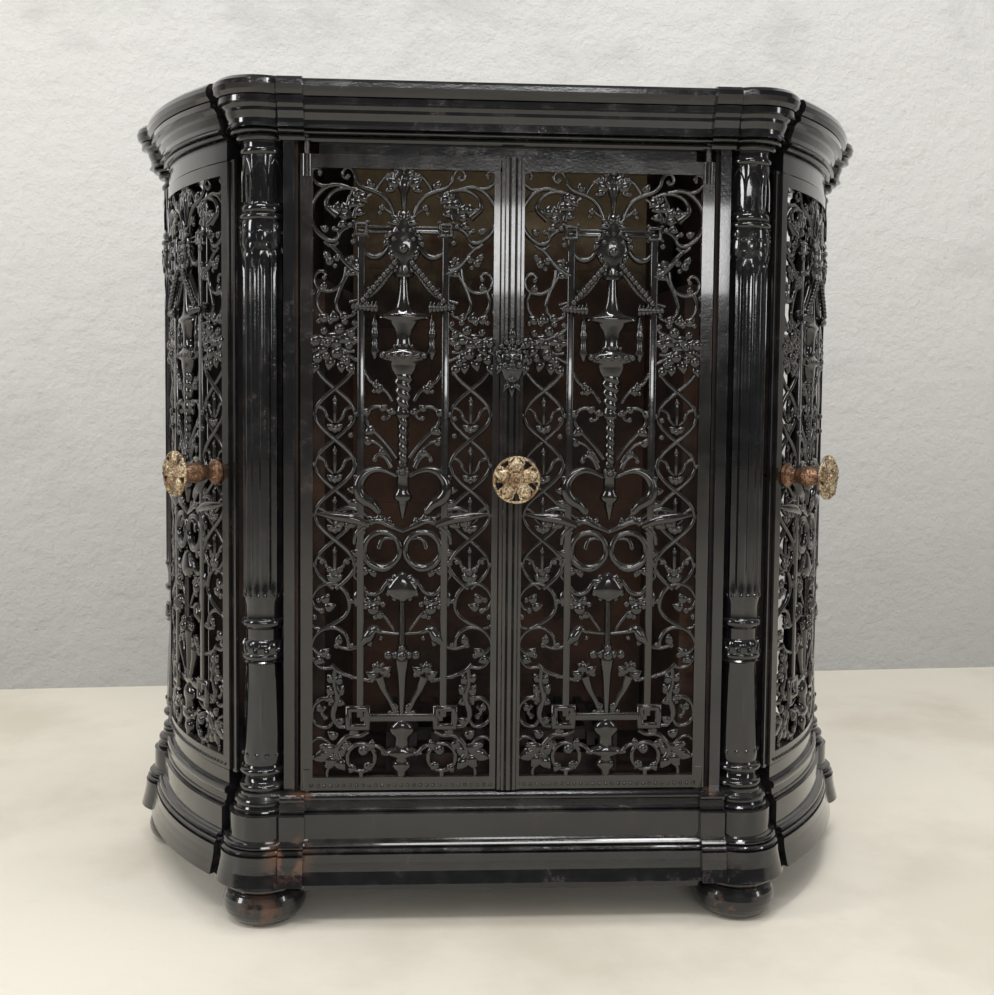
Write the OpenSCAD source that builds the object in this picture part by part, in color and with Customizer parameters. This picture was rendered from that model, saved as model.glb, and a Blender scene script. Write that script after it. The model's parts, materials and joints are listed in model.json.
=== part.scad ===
// Cast iron fireplace insert: bowed base and cornice held together by four columns,
// a pair of pierced front doors, a curved pierced door on each side, a brick-lined
// fire chamber with grate and ash pan, and a round flue collar at the back.
// Millimetres. +Z is up, the front faces -Y. The origin is on the floor, under the
// middle of the whole piece.

/* [Plan] */
// Distance from the centre line to a front column
front_col_x = 228; // [222:1:236]
// Distance of the front column axes behind the front plane
front_col_y = 20; // [18:0.5:22]
// Radius of the bowed side walls
side_r = 370; // [368:1:376]
// How far a front column axis stands inside the bowed side
front_col_in = 21.9; // [21:0.1:23]
// How far a rear column axis stands inside the bowed side
rear_col_in = 15.4; // [14:0.1:17]
// Direction of the rear columns, seen from the centre of the bow
rear_col_a = 79; // [77:0.5:81]
// Wall face behind the front plane
front_face_y = 1; // [0:0.5:2]

/* [Heights] */
// Height of the bun feet
foot_h = 44; // [38:1:50]
// Height of the moulded base
base_h = 81; // [76:1:90]
// Height between base and cornice
body_h = 605; // [590:5:640]
// Height of the moulded cornice
cornice_h = 54; // [50:1:60]
// Thickness of the loose cover plate on top
cover_t = 11; // [8:0.5:14]

/* [Mouldings] */
// Projection of the flared foot of the base
base_out = 21; // [18:0.5:23]
// Height of the flared band of the base
flare_h = 27; // [22:1:30]
// Projection of the cornice bullnose
cornice_out = 21; // [18:0.5:23]
// Height of the cornice bullnose
nose_h = 18; // [14:1:20]
// Step by which the corner lobes stand above and below the runs
lobe_step = 0.4; // [0.3:0.1:2]
// Radius of a corner lobe where the straight moulding has no projection
lobe_r = 26; // [25.5:0.25:27]
// Projection of the small blocks beside the corner lobes
block_out = 6; // [3:0.5:7]
// Width of the small blocks beside the corner lobes
block_w = 23; // [18:1:26]
// How far short of the column axes the bowed mouldings stop, in degrees
run_end_a = 4.5; // [4.25:0.25:6]
// How far short of the column axes the side door sills stop, in degrees
sill_end_a = 4.5; // [4.25:0.25:6]
// Thickness of the walls of the base and cornice castings
cast_t = 12; // [11:0.5:14]
// Height of the set back apron under the base
apron_h = 16; // [10:1:20]
// Thickness of the hearth plate
hearth_t = 8; // [6:0.5:10]
// Depth of the seats that the columns stand in
seat_d = 1; // [0.5:0.25:2]
// Distance of the cover plate's ends from the front columns
cover_in = 50; // [40:1:80]
// Distance of the cover plate behind the front columns
cover_back = 6; // [2:1:20]
// Width of the cover plate from front to back
cover_w = 168; // [140:2:180]
// Bevel round the cover plate
cover_bevel = 4; // [2:0.5:8]

/* [Columns] */
// Radius of the fluted shafts
shaft_r = 19.5; // [18:0.25:20]
// Largest radius of the column rings
ring_r = 24; // [23:0.25:24.5]
// Number of flutes round a shaft
flutes = 16; // [12:1:20]
// Radius of a flute
flute_r = 2.2; // [1.5:0.1:2.6]
// Height of the tapered pedestal drum
pedestal_h = 92; // [80:1:100]
// Height of the drum below the cap
drum_h = 46; // [40:1:50]
// Radius of the tie rods
rod_r = 5; // [4:0.5:6]

/* [Feet] */
// Largest radius of a bun foot
bun_r = 39; // [34:0.5:42]
// Radius of the flat that stands on the floor
foot_flat_r = 26; // [20:1:30]

/* [Front doors] */
// Outer edge of a leaf from the centre line
leaf_x = 191.5; // [189:0.5:192]
// Half of the width of the joint line, on the left of the centre
leaf_inner_x = 8.5; // [8.5:0.5:10]
// Inner edge of the meeting stile
stile_inner_x = 14; // [13:0.5:16]
// Width of the hanging stile
stile_w = 11; // [10:0.5:13]
// Thickness of a leaf frame
leaf_t = 8; // [7:0.5:9]
// Height of the door rails
rail_h = 12; // [10:0.5:16]
// Gap under the leaves
door_gap = 2; // [1:0.5:3]
// Dark gap between the leaves and the cornice
head_gap = 11; // [6:1:12]
// Width of the slender bars inside the leaf
bar_w = 7; // [5:0.5:8]
// Distance of the slender bars from the middle of the leaf
bar_u = 39; // [36:0.5:42]
// Size of the upper square bosses
boss_top = 14; // [12:0.5:16]
// Size of the lower square bosses
boss_low = 24; // [20:0.5:26]
// Distance of the lower bosses outside the slender bars
boss_out = 2; // [0:0.5:4]
// Size of the square holes in the upper bosses
boss_top_hole = 7; // [5:0.5:9]
// Size of the square holes in the lower bosses
boss_low_hole = 11; // [8:0.5:14]
// Thickness of the slender bars
bar_t = 6.8; // [6:0.2:7]
// Height of the upper cross bar above the leaf's foot
cross_top_z = 525; // [515:1:535]
// Height of the lower cross bar above the leaf's foot
cross_low_z = 68.5; // [64:0.5:72]
// Left edge of the meeting strip, left of the centre line
strip_left = 7; // [5:0.25:7.25]
// Thickness of the meeting strip
strip_t = 4; // [3:0.5:5]
// Thickness of the flat scrollwork
web_t = 5; // [4:0.5:6]
// Thickness of the raised middle motifs
relief_t = 8.5; // [7:0.5:9]

/* [Side doors] */
// Height of the fixed sill and head beside a side door
sill_h = 14; // [10:1:18]
// Gap above and below a side leaf
side_gap = 1.5; // [1:0.5:3]
// Clear gap between a column and the edge of a side leaf
side_clear = 5; // [4.5:0.25:6]
// Width of the stiles of a side leaf
side_stile_w = 10; // [8:0.5:13]

/* [Hinges and knobs] */
// Radius of the hinge pins
pin_r = 2.5; // [2:0.25:3]
// Radius of the hinge knuckles
knuckle_r = 5.5; // [5:0.25:5.5]
// Metal left outside the knuckle of a side leaf
knuckle_edge = 0.8; // [0.6:0.1:1.5]
// Distance that a pin enters each part
pin_in = 12; // [10:1:16]
// Height of the knobs above the floor
knob_z = 425; // [400:5:450]
// Distance of the front knob from the centre line
knob_x = 6.3; // [6.25:0.05:7]
// Distance of a side knob from the edge of its leaf
side_knob_in = 20; // [18:1:24]
// Radius of the boss behind a side knob
boss_r = 13; // [11:0.5:14]
// Radius of a knob's rosette
knob_r = 21.5; // [19:0.5:21.5]
// Thickness of a knob's rosette
knob_t = 7; // [5:0.5:9]
// Number of pierced petals
petals = 7; // [6:1:8]
// How far a knob stands out from the door
knob_out = 49; // [44:1:54]
// Radius of a knob spindle
spindle_r = 4; // [3.5:0.25:4.5]
// Length of a front latch tongue from the spindle
tongue_l = 28; // [24:1:30]
// Length of a side latch tongue from the spindle
side_tongue_l = 23; // [22:0.5:24]

/* [Fire chamber] */
// Distance of the cheek plates from the centre line
cheek_x = 195.5; // [194.5:0.5:197]
// Thickness of the cheek plates
cheek_t = 5; // [4:0.5:6]
// Thickness of the back plate
back_t = 8; // [6:0.5:10]
// Distance of the back plate's inner face behind the rear column axes
back_in = 7; // [5:0.5:9]
// Thickness of the fire bricks
brick_t = 30; // [24:1:36]
// Height of a course of bricks
brick_h = 64; // [55:1:75]
// Half of the width of the brick back
brick_x = 160; // [150:1:165]
// Thickness of the bricks in front of the smoke passage
passage_skin = 12; // [10:0.5:15]
// How much the smoke passage is wider than the flue, on each side
passage_in = 12; // [8:1:20]
// Height of the mouth of the smoke passage below the top of the bricks
mouth_h = 22; // [15:1:30]
// Distance of the flue's axis below the cornice
flue_down = 110; // [95:5:150]
// Radius of the flue bore
flue_r = 63; // [55:0.5:70]
// Wall of the flue collar
flue_t = 5; // [4:0.5:7]
// Length of the flue collar behind the back plate
flue_l = 50; // [35:1:70]
// Number of grate bars
grate_n = 11; // [7:1:13]
// Distance between grate bars
grate_pitch = 22; // [18:0.5:24]
// Distance of the grate behind the front face
grate_in = 43; // [40:1:60]
// Clearance between the grate and the brick back
grate_back = 18.4; // [5:0.2:30]
// Height of the grate's legs
grate_leg_h = 30; // [28:1:40]
// Height of the ash pan
pan_h = 24; // [15:1:26]

/* [Fits] */
// Running clearance of pins and spindles
run_gap = 0.05; // [0.02:0.01:0.1]
// Clearance between neighbouring pieces
gap = 0.3; // [0.2:0.05:0.5]

/* [Hidden] */
$fn = 96;

// Levels
base_z = foot_h;
base_top = base_z + base_h;
lobe_top = base_top - 3;
cornice_z = base_top + body_h;
cornice_top = cornice_z + cornice_h;
col_h = cornice_z - lobe_top;
leaf_z0 = base_top + door_gap;
leaf_z1 = cornice_z - head_gap;
leaf_h = leaf_z1 - leaf_z0;
side_z0 = base_top + sill_h + side_gap;
side_z1 = cornice_z - sill_h - side_gap;
side_h = side_z1 - side_z0;
flue_z = cornice_z - flue_down;

// Plan: centre of the bow, and the columns
bow_y = front_col_y + sqrt(pow(side_r - front_col_in, 2) - pow(front_col_x, 2));
front_col_a = atan2(front_col_x, bow_y - front_col_y);
rear_col_d = side_r - rear_col_in;
rear_col_x = rear_col_d * sin(rear_col_a);
rear_col_y = bow_y - rear_col_d * cos(rear_col_a);
COLUMNS = [
    [-front_col_x, front_col_y], [front_col_x, front_col_y],
    [-rear_col_x, rear_col_y], [rear_col_x, rear_col_y]
];

// Back of the body, and the shift that puts the origin under the middle
plate_y = rear_col_y + back_in;
back_y = plate_y + back_t;
back_run = 20;
strip_y = front_face_y - strip_t;
y_front = strip_y - knob_out;
y_back = back_y + flue_l;
mid_y = (y_front + y_back) / 2;

// Side leaf, as angles round the bow, seen from its centre line
leaf_r1 = side_r;
leaf_r0 = side_r - leaf_t;
side_hinge_r = (leaf_r0 + leaf_r1) / 2;
edge_d = ring_r + side_clear;
side_a0 = front_col_a + acos((pow(leaf_r0, 2) + pow(side_r - front_col_in, 2)
    - pow(edge_d, 2)) / (2 * leaf_r0 * (side_r - front_col_in)));
side_a1 = rear_col_a - acos((pow(leaf_r0, 2) + pow(rear_col_d, 2)
    - pow(edge_d, 2)) / (2 * leaf_r0 * rear_col_d));
side_am = (side_a0 + side_a1) / 2;
side_w = (side_a1 - side_a0) * side_r * PI / 180;
side_hinge_a = side_a1 - (knuckle_r + knuckle_edge) * 180 / PI / side_hinge_r;
side_knob_a = side_a0 + side_knob_in * 180 / PI / side_r;
side_stile_a = side_stile_w * 180 / PI / side_r;

// Front leaf
hinge_x = leaf_x - knuckle_r;
hinge_y = front_face_y + leaf_t / 2;
axis_x = (leaf_x - stile_w + stile_inner_x) / 2;
open_w = leaf_x - stile_w - stile_inner_x;
leaf_back = front_face_y + leaf_t;
ref_h = 592;
ref_open_w = 166.5;

// Small shared shapes

function lerp(a, b, t) = a + (b - a) * t;

// Rounded bead of height z1 - z0 that swells by b from d
function bead(d, z0, z1, b) =
    [for (i = [0:6]) [d + b * sin(30 * i), lerp(z0, z1, (1 - cos(30 * i)) / 2)]];

// Point number i, part t, of a smooth curve through the points p
function on_curve(p, i, t) =
    let (
        a = p[max(i - 1, 0)],
        b = p[i],
        c = p[i + 1],
        d = p[min(i + 2, len(p) - 1)]
    )
    0.5 * (2 * b + (c - a) * t + (2 * a - 5 * b + 4 * c - d) * t * t
        + (3 * b - a - 3 * c + d) * t * t * t);

// Smooth curve through the points p with n steps in each span
function curve(p, n) =
    concat([for (i = [0:len(p) - 2], k = [0:n - 1]) on_curve(p, i, k / n)], [p[len(p) - 1]]);

function unit(v) = v / max(norm(v), 0.0001);

// Direction across the line p at its point i
function across(p, i) =
    let (t = unit(p[min(i + 1, len(p) - 1)] - p[max(i - 1, 0)])) [-t[1], t[0]];

// Band along the line p, w0 wide at its start and w1 at its end, t thick
module band(p, w0, w1, t) {
    n = len(p) - 1;
    linear_extrude(t)
        polygon(concat(
            [for (i = [0:n]) p[i] + across(p, i) * lerp(w0, w1, i / n) / 2],
            [for (i = [n:-1:0]) p[i] - across(p, i) * lerp(w0, w1, i / n) / 2]
        ));
}

// Upright shape that is mirrored about the middle line, from half widths and heights
module balanced(p, t) {
    linear_extrude(t)
        polygon(concat(p, [for (i = [len(p) - 1:-1:0]) [-p[i][0], p[i][1]]]));
}

module both_sides() {
    children();
    mirror([1, 0, 0])
        children();
}

module placed() {
    translate([0, -mid_y, 0])
        children();
}

module flipped(side) {
    if (side < 0)
        mirror([1, 0, 0])
            children();
    else
        children();
}

// Turns a piece made for a flat front to direction a of the bow
module on_bow(a) {
    translate([0, bow_y, 0])
        rotate([0, 0, a])
            children();
}

// Curved bar of the right side, from radius r0 to r1 and direction a0 to a1
module sector(r0, r1, a0, a1, z0, z1) {
    translate([0, bow_y, z0])
        rotate([0, 0, a0 - 90])
            rotate_extrude(angle = a1 - a0, $fn = 180)
                translate([r0, 0])
                    square([r1 - r0, z1 - z0]);
}

// Outline of the plan, d outside the wall face
function bow_point(d, a) = [(side_r + d) * sin(a), bow_y - (side_r + d) * cos(a)];

function half_plan(d, back) = concat(
    [[-1, front_face_y - d], [front_col_x - 8, front_face_y - d]],
    [for (k = [0:10]) bow_point(d, lerp(front_col_a, rear_col_a, k / 10))],
    [[rear_col_x + d, back], [-1, back]]
);

module plan_slab(d, back, t) {
    both_sides()
        linear_extrude(t)
            polygon(half_plan(d, back));
}

// Moulding: the front run, the bowed sides and the back, from one section
module moulded_runs(section) {
    translate([-front_col_x, front_face_y, 0])
        rotate([90, 0, 90])
            linear_extrude(2 * front_col_x)
                mirror([1, 0])
                    polygon(section);
    for (s = [-1, 1])
        flipped(s)
            translate([0, bow_y, 0])
                rotate([0, 0, front_col_a + run_end_a - 90])
                    rotate_extrude(angle = rear_col_a - front_col_a - 2 * run_end_a, $fn = 180)
                        translate([side_r, 0])
                            polygon(section);
    for (s = [-1, 1])
        flipped(s)
            translate([front_col_x - lobe_r - block_w + 8, front_face_y - block_out, 0])
                rotate([90, 0, 90])
                    linear_extrude(block_w)
                        mirror([1, 0])
                            polygon(section);
}

// Section of the corner lobes, revolved about each column axis
module lobes(section) {
    for (c = COLUMNS)
        translate([c[0], c[1], 0])
            rotate_extrude()
                polygon(section);
}

module rod_holes() {
    for (c = COLUMNS)
        translate([c[0], c[1], -1])
            cylinder(h = cornice_top + 2, r = rod_r + gap);
}

// The two pin lines of the right half, mirrored to the left
module at_front_hinges() {
    for (s = [-1, 1])
        flipped(s)
            translate([hinge_x, hinge_y, 0])
                children();
}

module at_side_hinges() {
    for (s = [-1, 1])
        flipped(s)
            on_bow(side_hinge_a)
                translate([0, -side_hinge_r, 0])
                    children();
}

module pin_holes(z0, z1) {
    at_front_hinges()
        translate([0, 0, z0])
            cylinder(h = z1 - z0, r = pin_r + run_gap);
    at_side_hinges()
        translate([0, 0, z0])
            cylinder(h = z1 - z0, r = pin_r + run_gap);
}

// Base

drum_z = flare_h + 12;
ring_z = base_h - 18;

function base_outer(d, z0) = concat(
    [[d + base_out, z0], [d + base_out - 1, 4], [d + base_out - 3, 12],
     [d + base_out - 4.5, 20], [d + base_out - 5, flare_h]],
    bead(d + 11, flare_h, flare_h + 5, 4),
    bead(d + 9, flare_h + 5, flare_h + 11, 4),
    [[d + 7, drum_z], [d + 7, ring_z - 1]]
);

base_section = concat(
    [[-8, lobe_step]],
    base_outer(0, lobe_step),
    bead(2, ring_z, ring_z + 4, 2),
    bead(1, base_h - 8, base_h, 3),
    [[-cast_t + 1.5, base_h], [-cast_t + 1.5, base_h - hearth_t], [-30, base_h - hearth_t],
     [-30, base_h - hearth_t - cast_t], [-8, base_h - hearth_t - cast_t]]
);

base_lobe = concat(
    [[0, 0]],
    base_outer(lobe_r, 0),
    bead(lobe_r + 1, ring_z, ring_z + 4, 2.5),
    bead(lobe_r, base_h - 12, base_h - 5, 2.5),
    [[lobe_r - 2, base_h - 3], [0, base_h - 3]]
);

module base_plinth() {
    color("#17181a")
        placed()
            difference() {
                union() {
                    translate([0, 0, base_z])
                        moulded_runs(base_section);
                    translate([0, 0, base_z])
                        lobes(base_lobe);
                    translate([-rear_col_x, plate_y, base_z + lobe_step])
                        cube([2 * rear_col_x, back_run, base_h - lobe_step]);
                    translate([-(front_col_x - bun_r), front_face_y + 5, base_z - apron_h])
                        cube([2 * (front_col_x - bun_r), 6, apron_h + 1]);
                    for (s = [-1, 1])
                        flipped(s) {
                            sector(leaf_r0 - 8, side_r - 1.5, front_col_a + sill_end_a,
                                rear_col_a - sill_end_a, base_top - 4, base_top + sill_h);
                            sector(side_r - 11, side_r - 5, front_col_a + 6.5,
                                rear_col_a - 6.5, base_z - apron_h, base_z + 1);
                        }
                }
                rod_holes();
                for (c = COLUMNS)
                    translate([c[0], c[1], lobe_top - seat_d])
                        cylinder(h = seat_d + 4, r = ring_r - 1 + gap);
                pin_holes(base_top - pin_in, base_top + sill_h + 1);
            }
}

module hearth_plate() {
    color("#2b2522")
        placed()
            difference() {
                translate([0, 0, base_top - hearth_t])
                    plan_slab(-cast_t + 1.5 - gap, plate_y - gap, hearth_t);
                for (c = COLUMNS)
                    translate([c[0], c[1], base_z])
                        cylinder(h = base_h + 1, r = lobe_r + 4);
                for (s = [-1, 1])
                    flipped(s) {
                        sector(leaf_r0 - 8 - gap, side_r, front_col_a, rear_col_a,
                            base_top - 4 - gap, base_top + 1);
                    }
            }
}

// Bun foot with a nut pocket underneath
module foot(i) {
    color("#1b1c1e")
        placed()
            translate([COLUMNS[i][0], COLUMNS[i][1], 0])
                difference() {
                    rotate_extrude()
                        polygon(concat(
                            [[0, 0], [foot_flat_r, 0], [foot_flat_r + 5, 3]],
                            [for (k = [1:9]) [bun_r - 9 + 9 * sin(20 * k),
                                lerp(5, foot_h * 0.75, (1 - cos(20 * k)) / 2)]],
                            [[bun_r - 8, foot_h * 0.76]],
                            bead(bun_r - 5, foot_h * 0.78, foot_h - 3, 3),
                            [[bun_r - 6, foot_h - 2], [bun_r - 4, foot_h], [0, foot_h]]
                        ));
                    translate([0, 0, -1])
                        cylinder(h = foot_h + 2, r = rod_r + gap);
                    translate([0, 0, -1])
                        cylinder(h = 19, r = 2 * rod_r + 2);
                }
}

// Columns

shaft_z = pedestal_h + 92;
capital_z = col_h - drum_h - 54;

column_section = concat(
    [[0, -seat_d], [ring_r - 1, -seat_d], [ring_r - 1, 3]],
    bead(ring_r - 3.5, 4, 11, 2.5),
    [[ring_r - 5, 13], [ring_r - 6, 17]],
    bead(ring_r - 5, 19, 26, 3),
    [[shaft_r - 1, 28], [shaft_r - 1, 32], [shaft_r, 34],
     [shaft_r + 3, 34 + pedestal_h], [ring_r - 1.5, 36 + pedestal_h]],
    bead(ring_r - 3, 38 + pedestal_h, 48 + pedestal_h, 3),
    bead(ring_r - 4, 48 + pedestal_h, 56 + pedestal_h, 2),
    [[shaft_r - 3, 58 + pedestal_h], [shaft_r - 3, 68 + pedestal_h]],
    bead(shaft_r - 1, 69 + pedestal_h, 76 + pedestal_h, 3),
    [[shaft_r - 1, 78 + pedestal_h], [shaft_r - 1, 90 + pedestal_h],
     [shaft_r, shaft_z], [shaft_r, capital_z]],
    bead(shaft_r - 1, capital_z + 2, capital_z + 9, 2.5),
    [[shaft_r, capital_z + 12], [shaft_r + 1.5, capital_z + 30]],
    bead(shaft_r, capital_z + 32, capital_z + 44, 3),
    [[shaft_r - 1, capital_z + 46], [shaft_r + 1, col_h - 9]],
    bead(shaft_r - 1, col_h - 9, col_h - 3, 2.5),
    [[shaft_r - 1, col_h], [0, col_h]]
);

module column(i) {
    color("#141517")
        placed()
            translate([COLUMNS[i][0], COLUMNS[i][1], lobe_top])
                difference() {
                    rotate_extrude()
                        polygon(column_section);
                    translate([0, 0, -seat_d - 1])
                        cylinder(h = col_h + seat_d + 2, r = rod_r + gap);
                    for (k = [0:flutes - 1])
                        rotate([0, 0, 360 / flutes * k])
                            translate([shaft_r + flute_r * 0.25, 0, shaft_z + 6])
                                cylinder(h = capital_z - shaft_z - 12, r = flute_r, $fn = 24);
                }
}

module tie_rods() {
    color("#6d6f72")
        placed()
            for (c = COLUMNS)
                translate([c[0], c[1], 6])
                    cylinder(h = cornice_top - 2, r = rod_r);
}

// Domed nut on each corner of the cornice
module dome_nuts() {
    color("#55585c")
        placed()
            for (c = COLUMNS)
                translate([c[0], c[1], cornice_top])
                    difference() {
                        rotate_extrude($fn = 32)
                            polygon([[0, 0], [rod_r + 3, 0], [rod_r + 3, 2], [rod_r + 2.2, 4.2],
                                [rod_r, 5.6], [rod_r - 2, 6.3], [0, 6.6]]);
                        translate([0, 0, -1])
                            cylinder(h = 5 + run_gap, r = rod_r + run_gap);
                    }
}

module foot_nuts() {
    color("#6d6f72")
        placed()
            for (c = COLUMNS)
                translate([c[0], c[1], 18 - rod_r * 1.6])
                    difference() {
                        cylinder(h = rod_r * 1.6, r = 1.8 * rod_r, $fn = 6);
                        translate([0, 0, -1])
                            cylinder(h = rod_r * 1.6 + 2, r = rod_r + run_gap);
                    }
}

// Fixed upright strips beside the doors

module column_clearance() {
    translate([front_col_x, front_col_y, 0])
        cylinder(h = cornice_top, r = ring_r + 2 * gap);
}

jamb_x = front_col_x - shaft_r - 1.1;
jamb_w = 9.8;

module jamb_front(side) {
    color("#17181a")
        placed()
            flipped(side)
                difference() {
                    translate([jamb_x - jamb_w, front_face_y + 2, base_top])
                        cube([jamb_w, cast_t - 3, body_h]);
                    column_clearance();
                }
}

// Strip between column and side leaf; the latch tongue turns in behind it
module jamb_side(side) {
    color("#17181a")
        placed()
            flipped(side)
                difference() {
                    sector(leaf_r0, side_r - 3, side_a0 - 1.1, side_a0 - 0.3,
                        base_top + sill_h, cornice_z - sill_h);
                    column_clearance();
                }
}

// Fire chamber

cavity_top = cornice_top - cast_t;
cheek_y = front_face_y + cast_t + 0.5 + gap;
plate_x = rear_col_x - ring_r - 2 * gap;

module cheek(side) {
    color("#2a2320")
        placed()
            flipped(side)
                translate([cheek_x, cheek_y, base_top])
                    cube([cheek_t, plate_y - cheek_y, cavity_top - base_top]);
}

// Slots in the cornice that the tops of the cheeks and the back plate stand in
module plate_slots() {
    h = cavity_top - cornice_z + 1 + gap;
    for (s = [-1, 1])
        flipped(s)
            translate([cheek_x - gap, cheek_y - gap, cornice_z - 1])
                cube([cheek_t + 2 * gap, plate_y - cheek_y + gap + 1, h]);
    translate([-plate_x - gap, plate_y - gap, cornice_z - 1])
        cube([2 * (plate_x + gap), back_t + 3 * gap, h]);
}

module flue_bore(r) {
    translate([0, plate_y - brick_t - 20, flue_z])
        rotate([-90, 0, 0])
            cylinder(h = 20 + brick_t + back_t + flue_l + 20, r = r);
}

flange_r = flue_r + flue_t + 18;
bolt_pcd_r = flue_r + flue_t + 9;

module at_flue_bolts() {
    for (k = [0:3])
        translate([0, 0, flue_z])
            rotate([0, 45 + 90 * k, 0])
                translate([bolt_pcd_r, back_y, 0])
                    rotate([-90, 0, 0])
                        children();
}

module back_plate() {
    color("#221d1b")
        placed()
            difference() {
                translate([-plate_x, plate_y, base_top])
                    cube([2 * plate_x, back_t, cavity_top - base_top]);
                flue_bore(flue_r);
                at_flue_bolts()
                    translate([0, 0, -back_t - 1])
                        cylinder(h = back_t + 2, r = 3 + run_gap, $fn = 32);
            }
}

module flue_collar() {
    color("#26272a")
        placed()
            difference() {
                translate([0, back_y, flue_z])
                    rotate([-90, 0, 0])
                        union() {
                            cylinder(h = 6, r = flange_r);
                            cylinder(h = flue_l, r = flue_r + flue_t);
                        }
                flue_bore(flue_r);
                at_flue_bolts()
                    translate([0, 0, -1])
                        cylinder(h = 8, r = 3 + run_gap, $fn = 32);
            }
}

module flue_bolts() {
    color("#6d6f72")
        placed()
            at_flue_bolts() {
                translate([0, 0, -back_t])
                    cylinder(h = back_t + 6, r = 3, $fn = 32);
                translate([0, 0, 6])
                    cylinder(h = 4, r = 5.8, $fn = 6);
            }
}

passage_x = flue_r + passage_in;

// Courses of bricks up the back, with the joints staggered. From the flue up, thin bricks
// stand in the middle, with the smoke passage behind them and its mouth above them
module firebricks_back() {
    courses = floor((cavity_top - base_top) / brick_h);
    low = floor((flue_z - flue_r - base_top) / brick_h);
    color("#b9ab8e")
        placed()
            for (k = [0:courses - 1]) {
                z = base_top + k * brick_h;
                cut = (k % 2 == 0) ? brick_x / 3 : -brick_x / 3;
                if (k < low) {
                    translate([-brick_x, plate_y - brick_t, z])
                        cube([brick_x + cut - gap, brick_t, brick_h - gap]);
                    translate([cut, plate_y - brick_t, z])
                        cube([brick_x - cut, brick_t, brick_h - gap]);
                } else {
                    for (s = [-1, 1])
                        flipped(s)
                            translate([passage_x, plate_y - brick_t, z])
                                cube([brick_x - passage_x, brick_t, brick_h - gap]);
                    translate([gap - passage_x, plate_y - brick_t, z])
                        cube([2 * (passage_x - gap), passage_skin,
                            brick_h - (k == courses - 1 ? mouth_h : gap)]);
                }
            }
}

module firebrick(side) {
    color("#8b7f6b")
        placed()
            flipped(side)
                translate([0, 0, base_top])
                    linear_extrude(body_h * 0.8)
                        polygon([[cheek_x - gap, 40], [cheek_x - gap, plate_y - gap],
                            [brick_x + gap, plate_y - gap], [brick_x + gap, plate_y - brick_t],
                            [cheek_x - 22, 40]]);
}

grate_y = front_face_y + grate_in;
grate_l = plate_y - brick_t - grate_back - grate_y;
grate_x = grate_pitch * (grate_n - 1) / 2;

module fire_grate() {
    color("#2f2a27")
        placed()
            translate([0, grate_y, base_top + grate_leg_h]) {
                for (k = [0:grate_n - 1])
                    translate([k * grate_pitch - grate_x - 4, 0, 0])
                        cube([8, grate_l, 14]);
                for (y = [14, grate_l - 24])
                    translate([-grate_x - 4, y, 2])
                        cube([2 * grate_x + 8, 10, 10]);
                for (s = [-1, 1], y = [12, grate_l - 26])
                    translate([s * grate_x - 5, y, -grate_leg_h])
                        cube([10, 14, grate_leg_h + 4]);
            }
}

module ash_pan() {
    pan_x = grate_x - 8;
    color("#3a3532")
        placed()
            translate([-pan_x, grate_y - 4, base_top])
                difference() {
                    cube([2 * pan_x, grate_l + 4, pan_h]);
                    translate([2, 2, 2])
                        cube([2 * pan_x - 4, grate_l, pan_h]);
                }
}

// Cornice

cove_z = cornice_h - nose_h - 12;

function cornice_outer(d, top) = concat(
    bead(d - 4, 0, 6, 3),
    bead(d + 1, 6, 10, 3),
    [[d + 8, 10.5], [d + 6.5, 14], [d + 6.5, cove_z - 6], [d + 9, cove_z], [d + 9.5, cove_z + 3],
     [d + 12, cove_z + 6], [d + cornice_out - 5, cove_z + 7], [d + cornice_out - 5, cove_z + 12]],
    bead(d + cornice_out - nose_h / 2, cornice_h - nose_h, top, nose_h / 2)
);

cornice_section = concat(
    [[-cast_t, 0]],
    cornice_outer(0, cornice_h - lobe_step),
    [[-30, cornice_h - lobe_step], [-30, cornice_h - cast_t], [-cast_t, cornice_h - cast_t]]
);

cornice_lobe = concat([[0, 0]], cornice_outer(lobe_r, cornice_h), [[0, cornice_h]]);

module cornice() {
    color("#17181a")
        placed()
            difference() {
                union() {
                    translate([0, 0, cornice_z])
                        moulded_runs(cornice_section);
                    translate([0, 0, cornice_z])
                        lobes(cornice_lobe);
                    translate([0, 0, cavity_top])
                        plan_slab(-cast_t + 1, back_y + back_run - back_t, cast_t - lobe_step);
                    translate([-rear_col_x, back_y + gap, cornice_z])
                        cube([2 * rear_col_x, back_run - back_t - gap, cornice_h - lobe_step]);
                    translate([-(leaf_x - 16), leaf_back + 1, leaf_z1 - 7])
                        cube([2 * (leaf_x - 16), 4.5, cornice_z - leaf_z1 + 8]);
                    for (s = [-1, 1])
                        flipped(s)
                            sector(leaf_r0 - 8, side_r - 1.5, front_col_a + sill_end_a,
                                rear_col_a - sill_end_a,
                                cornice_z - sill_h, cornice_z + 4);
                }
                rod_holes();
                plate_slots();
                pin_holes(cornice_z - sill_h - 1, cornice_z + pin_in);
            }
}

cover_x = front_col_x - cover_in;

// Loose cover plate with a bevelled rim
module cover_plate() {
    color("#1b1c1e")
        placed()
            translate([-cover_x, front_col_y + cover_back, cornice_top - lobe_step]) {
                cube([2 * cover_x, cover_w, cover_t * 0.6]);
                translate([cover_bevel, cover_bevel, cover_t * 0.6])
                    cube([2 * (cover_x - cover_bevel), cover_w - 2 * cover_bevel, cover_t * 0.4]);
            }
}

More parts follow.
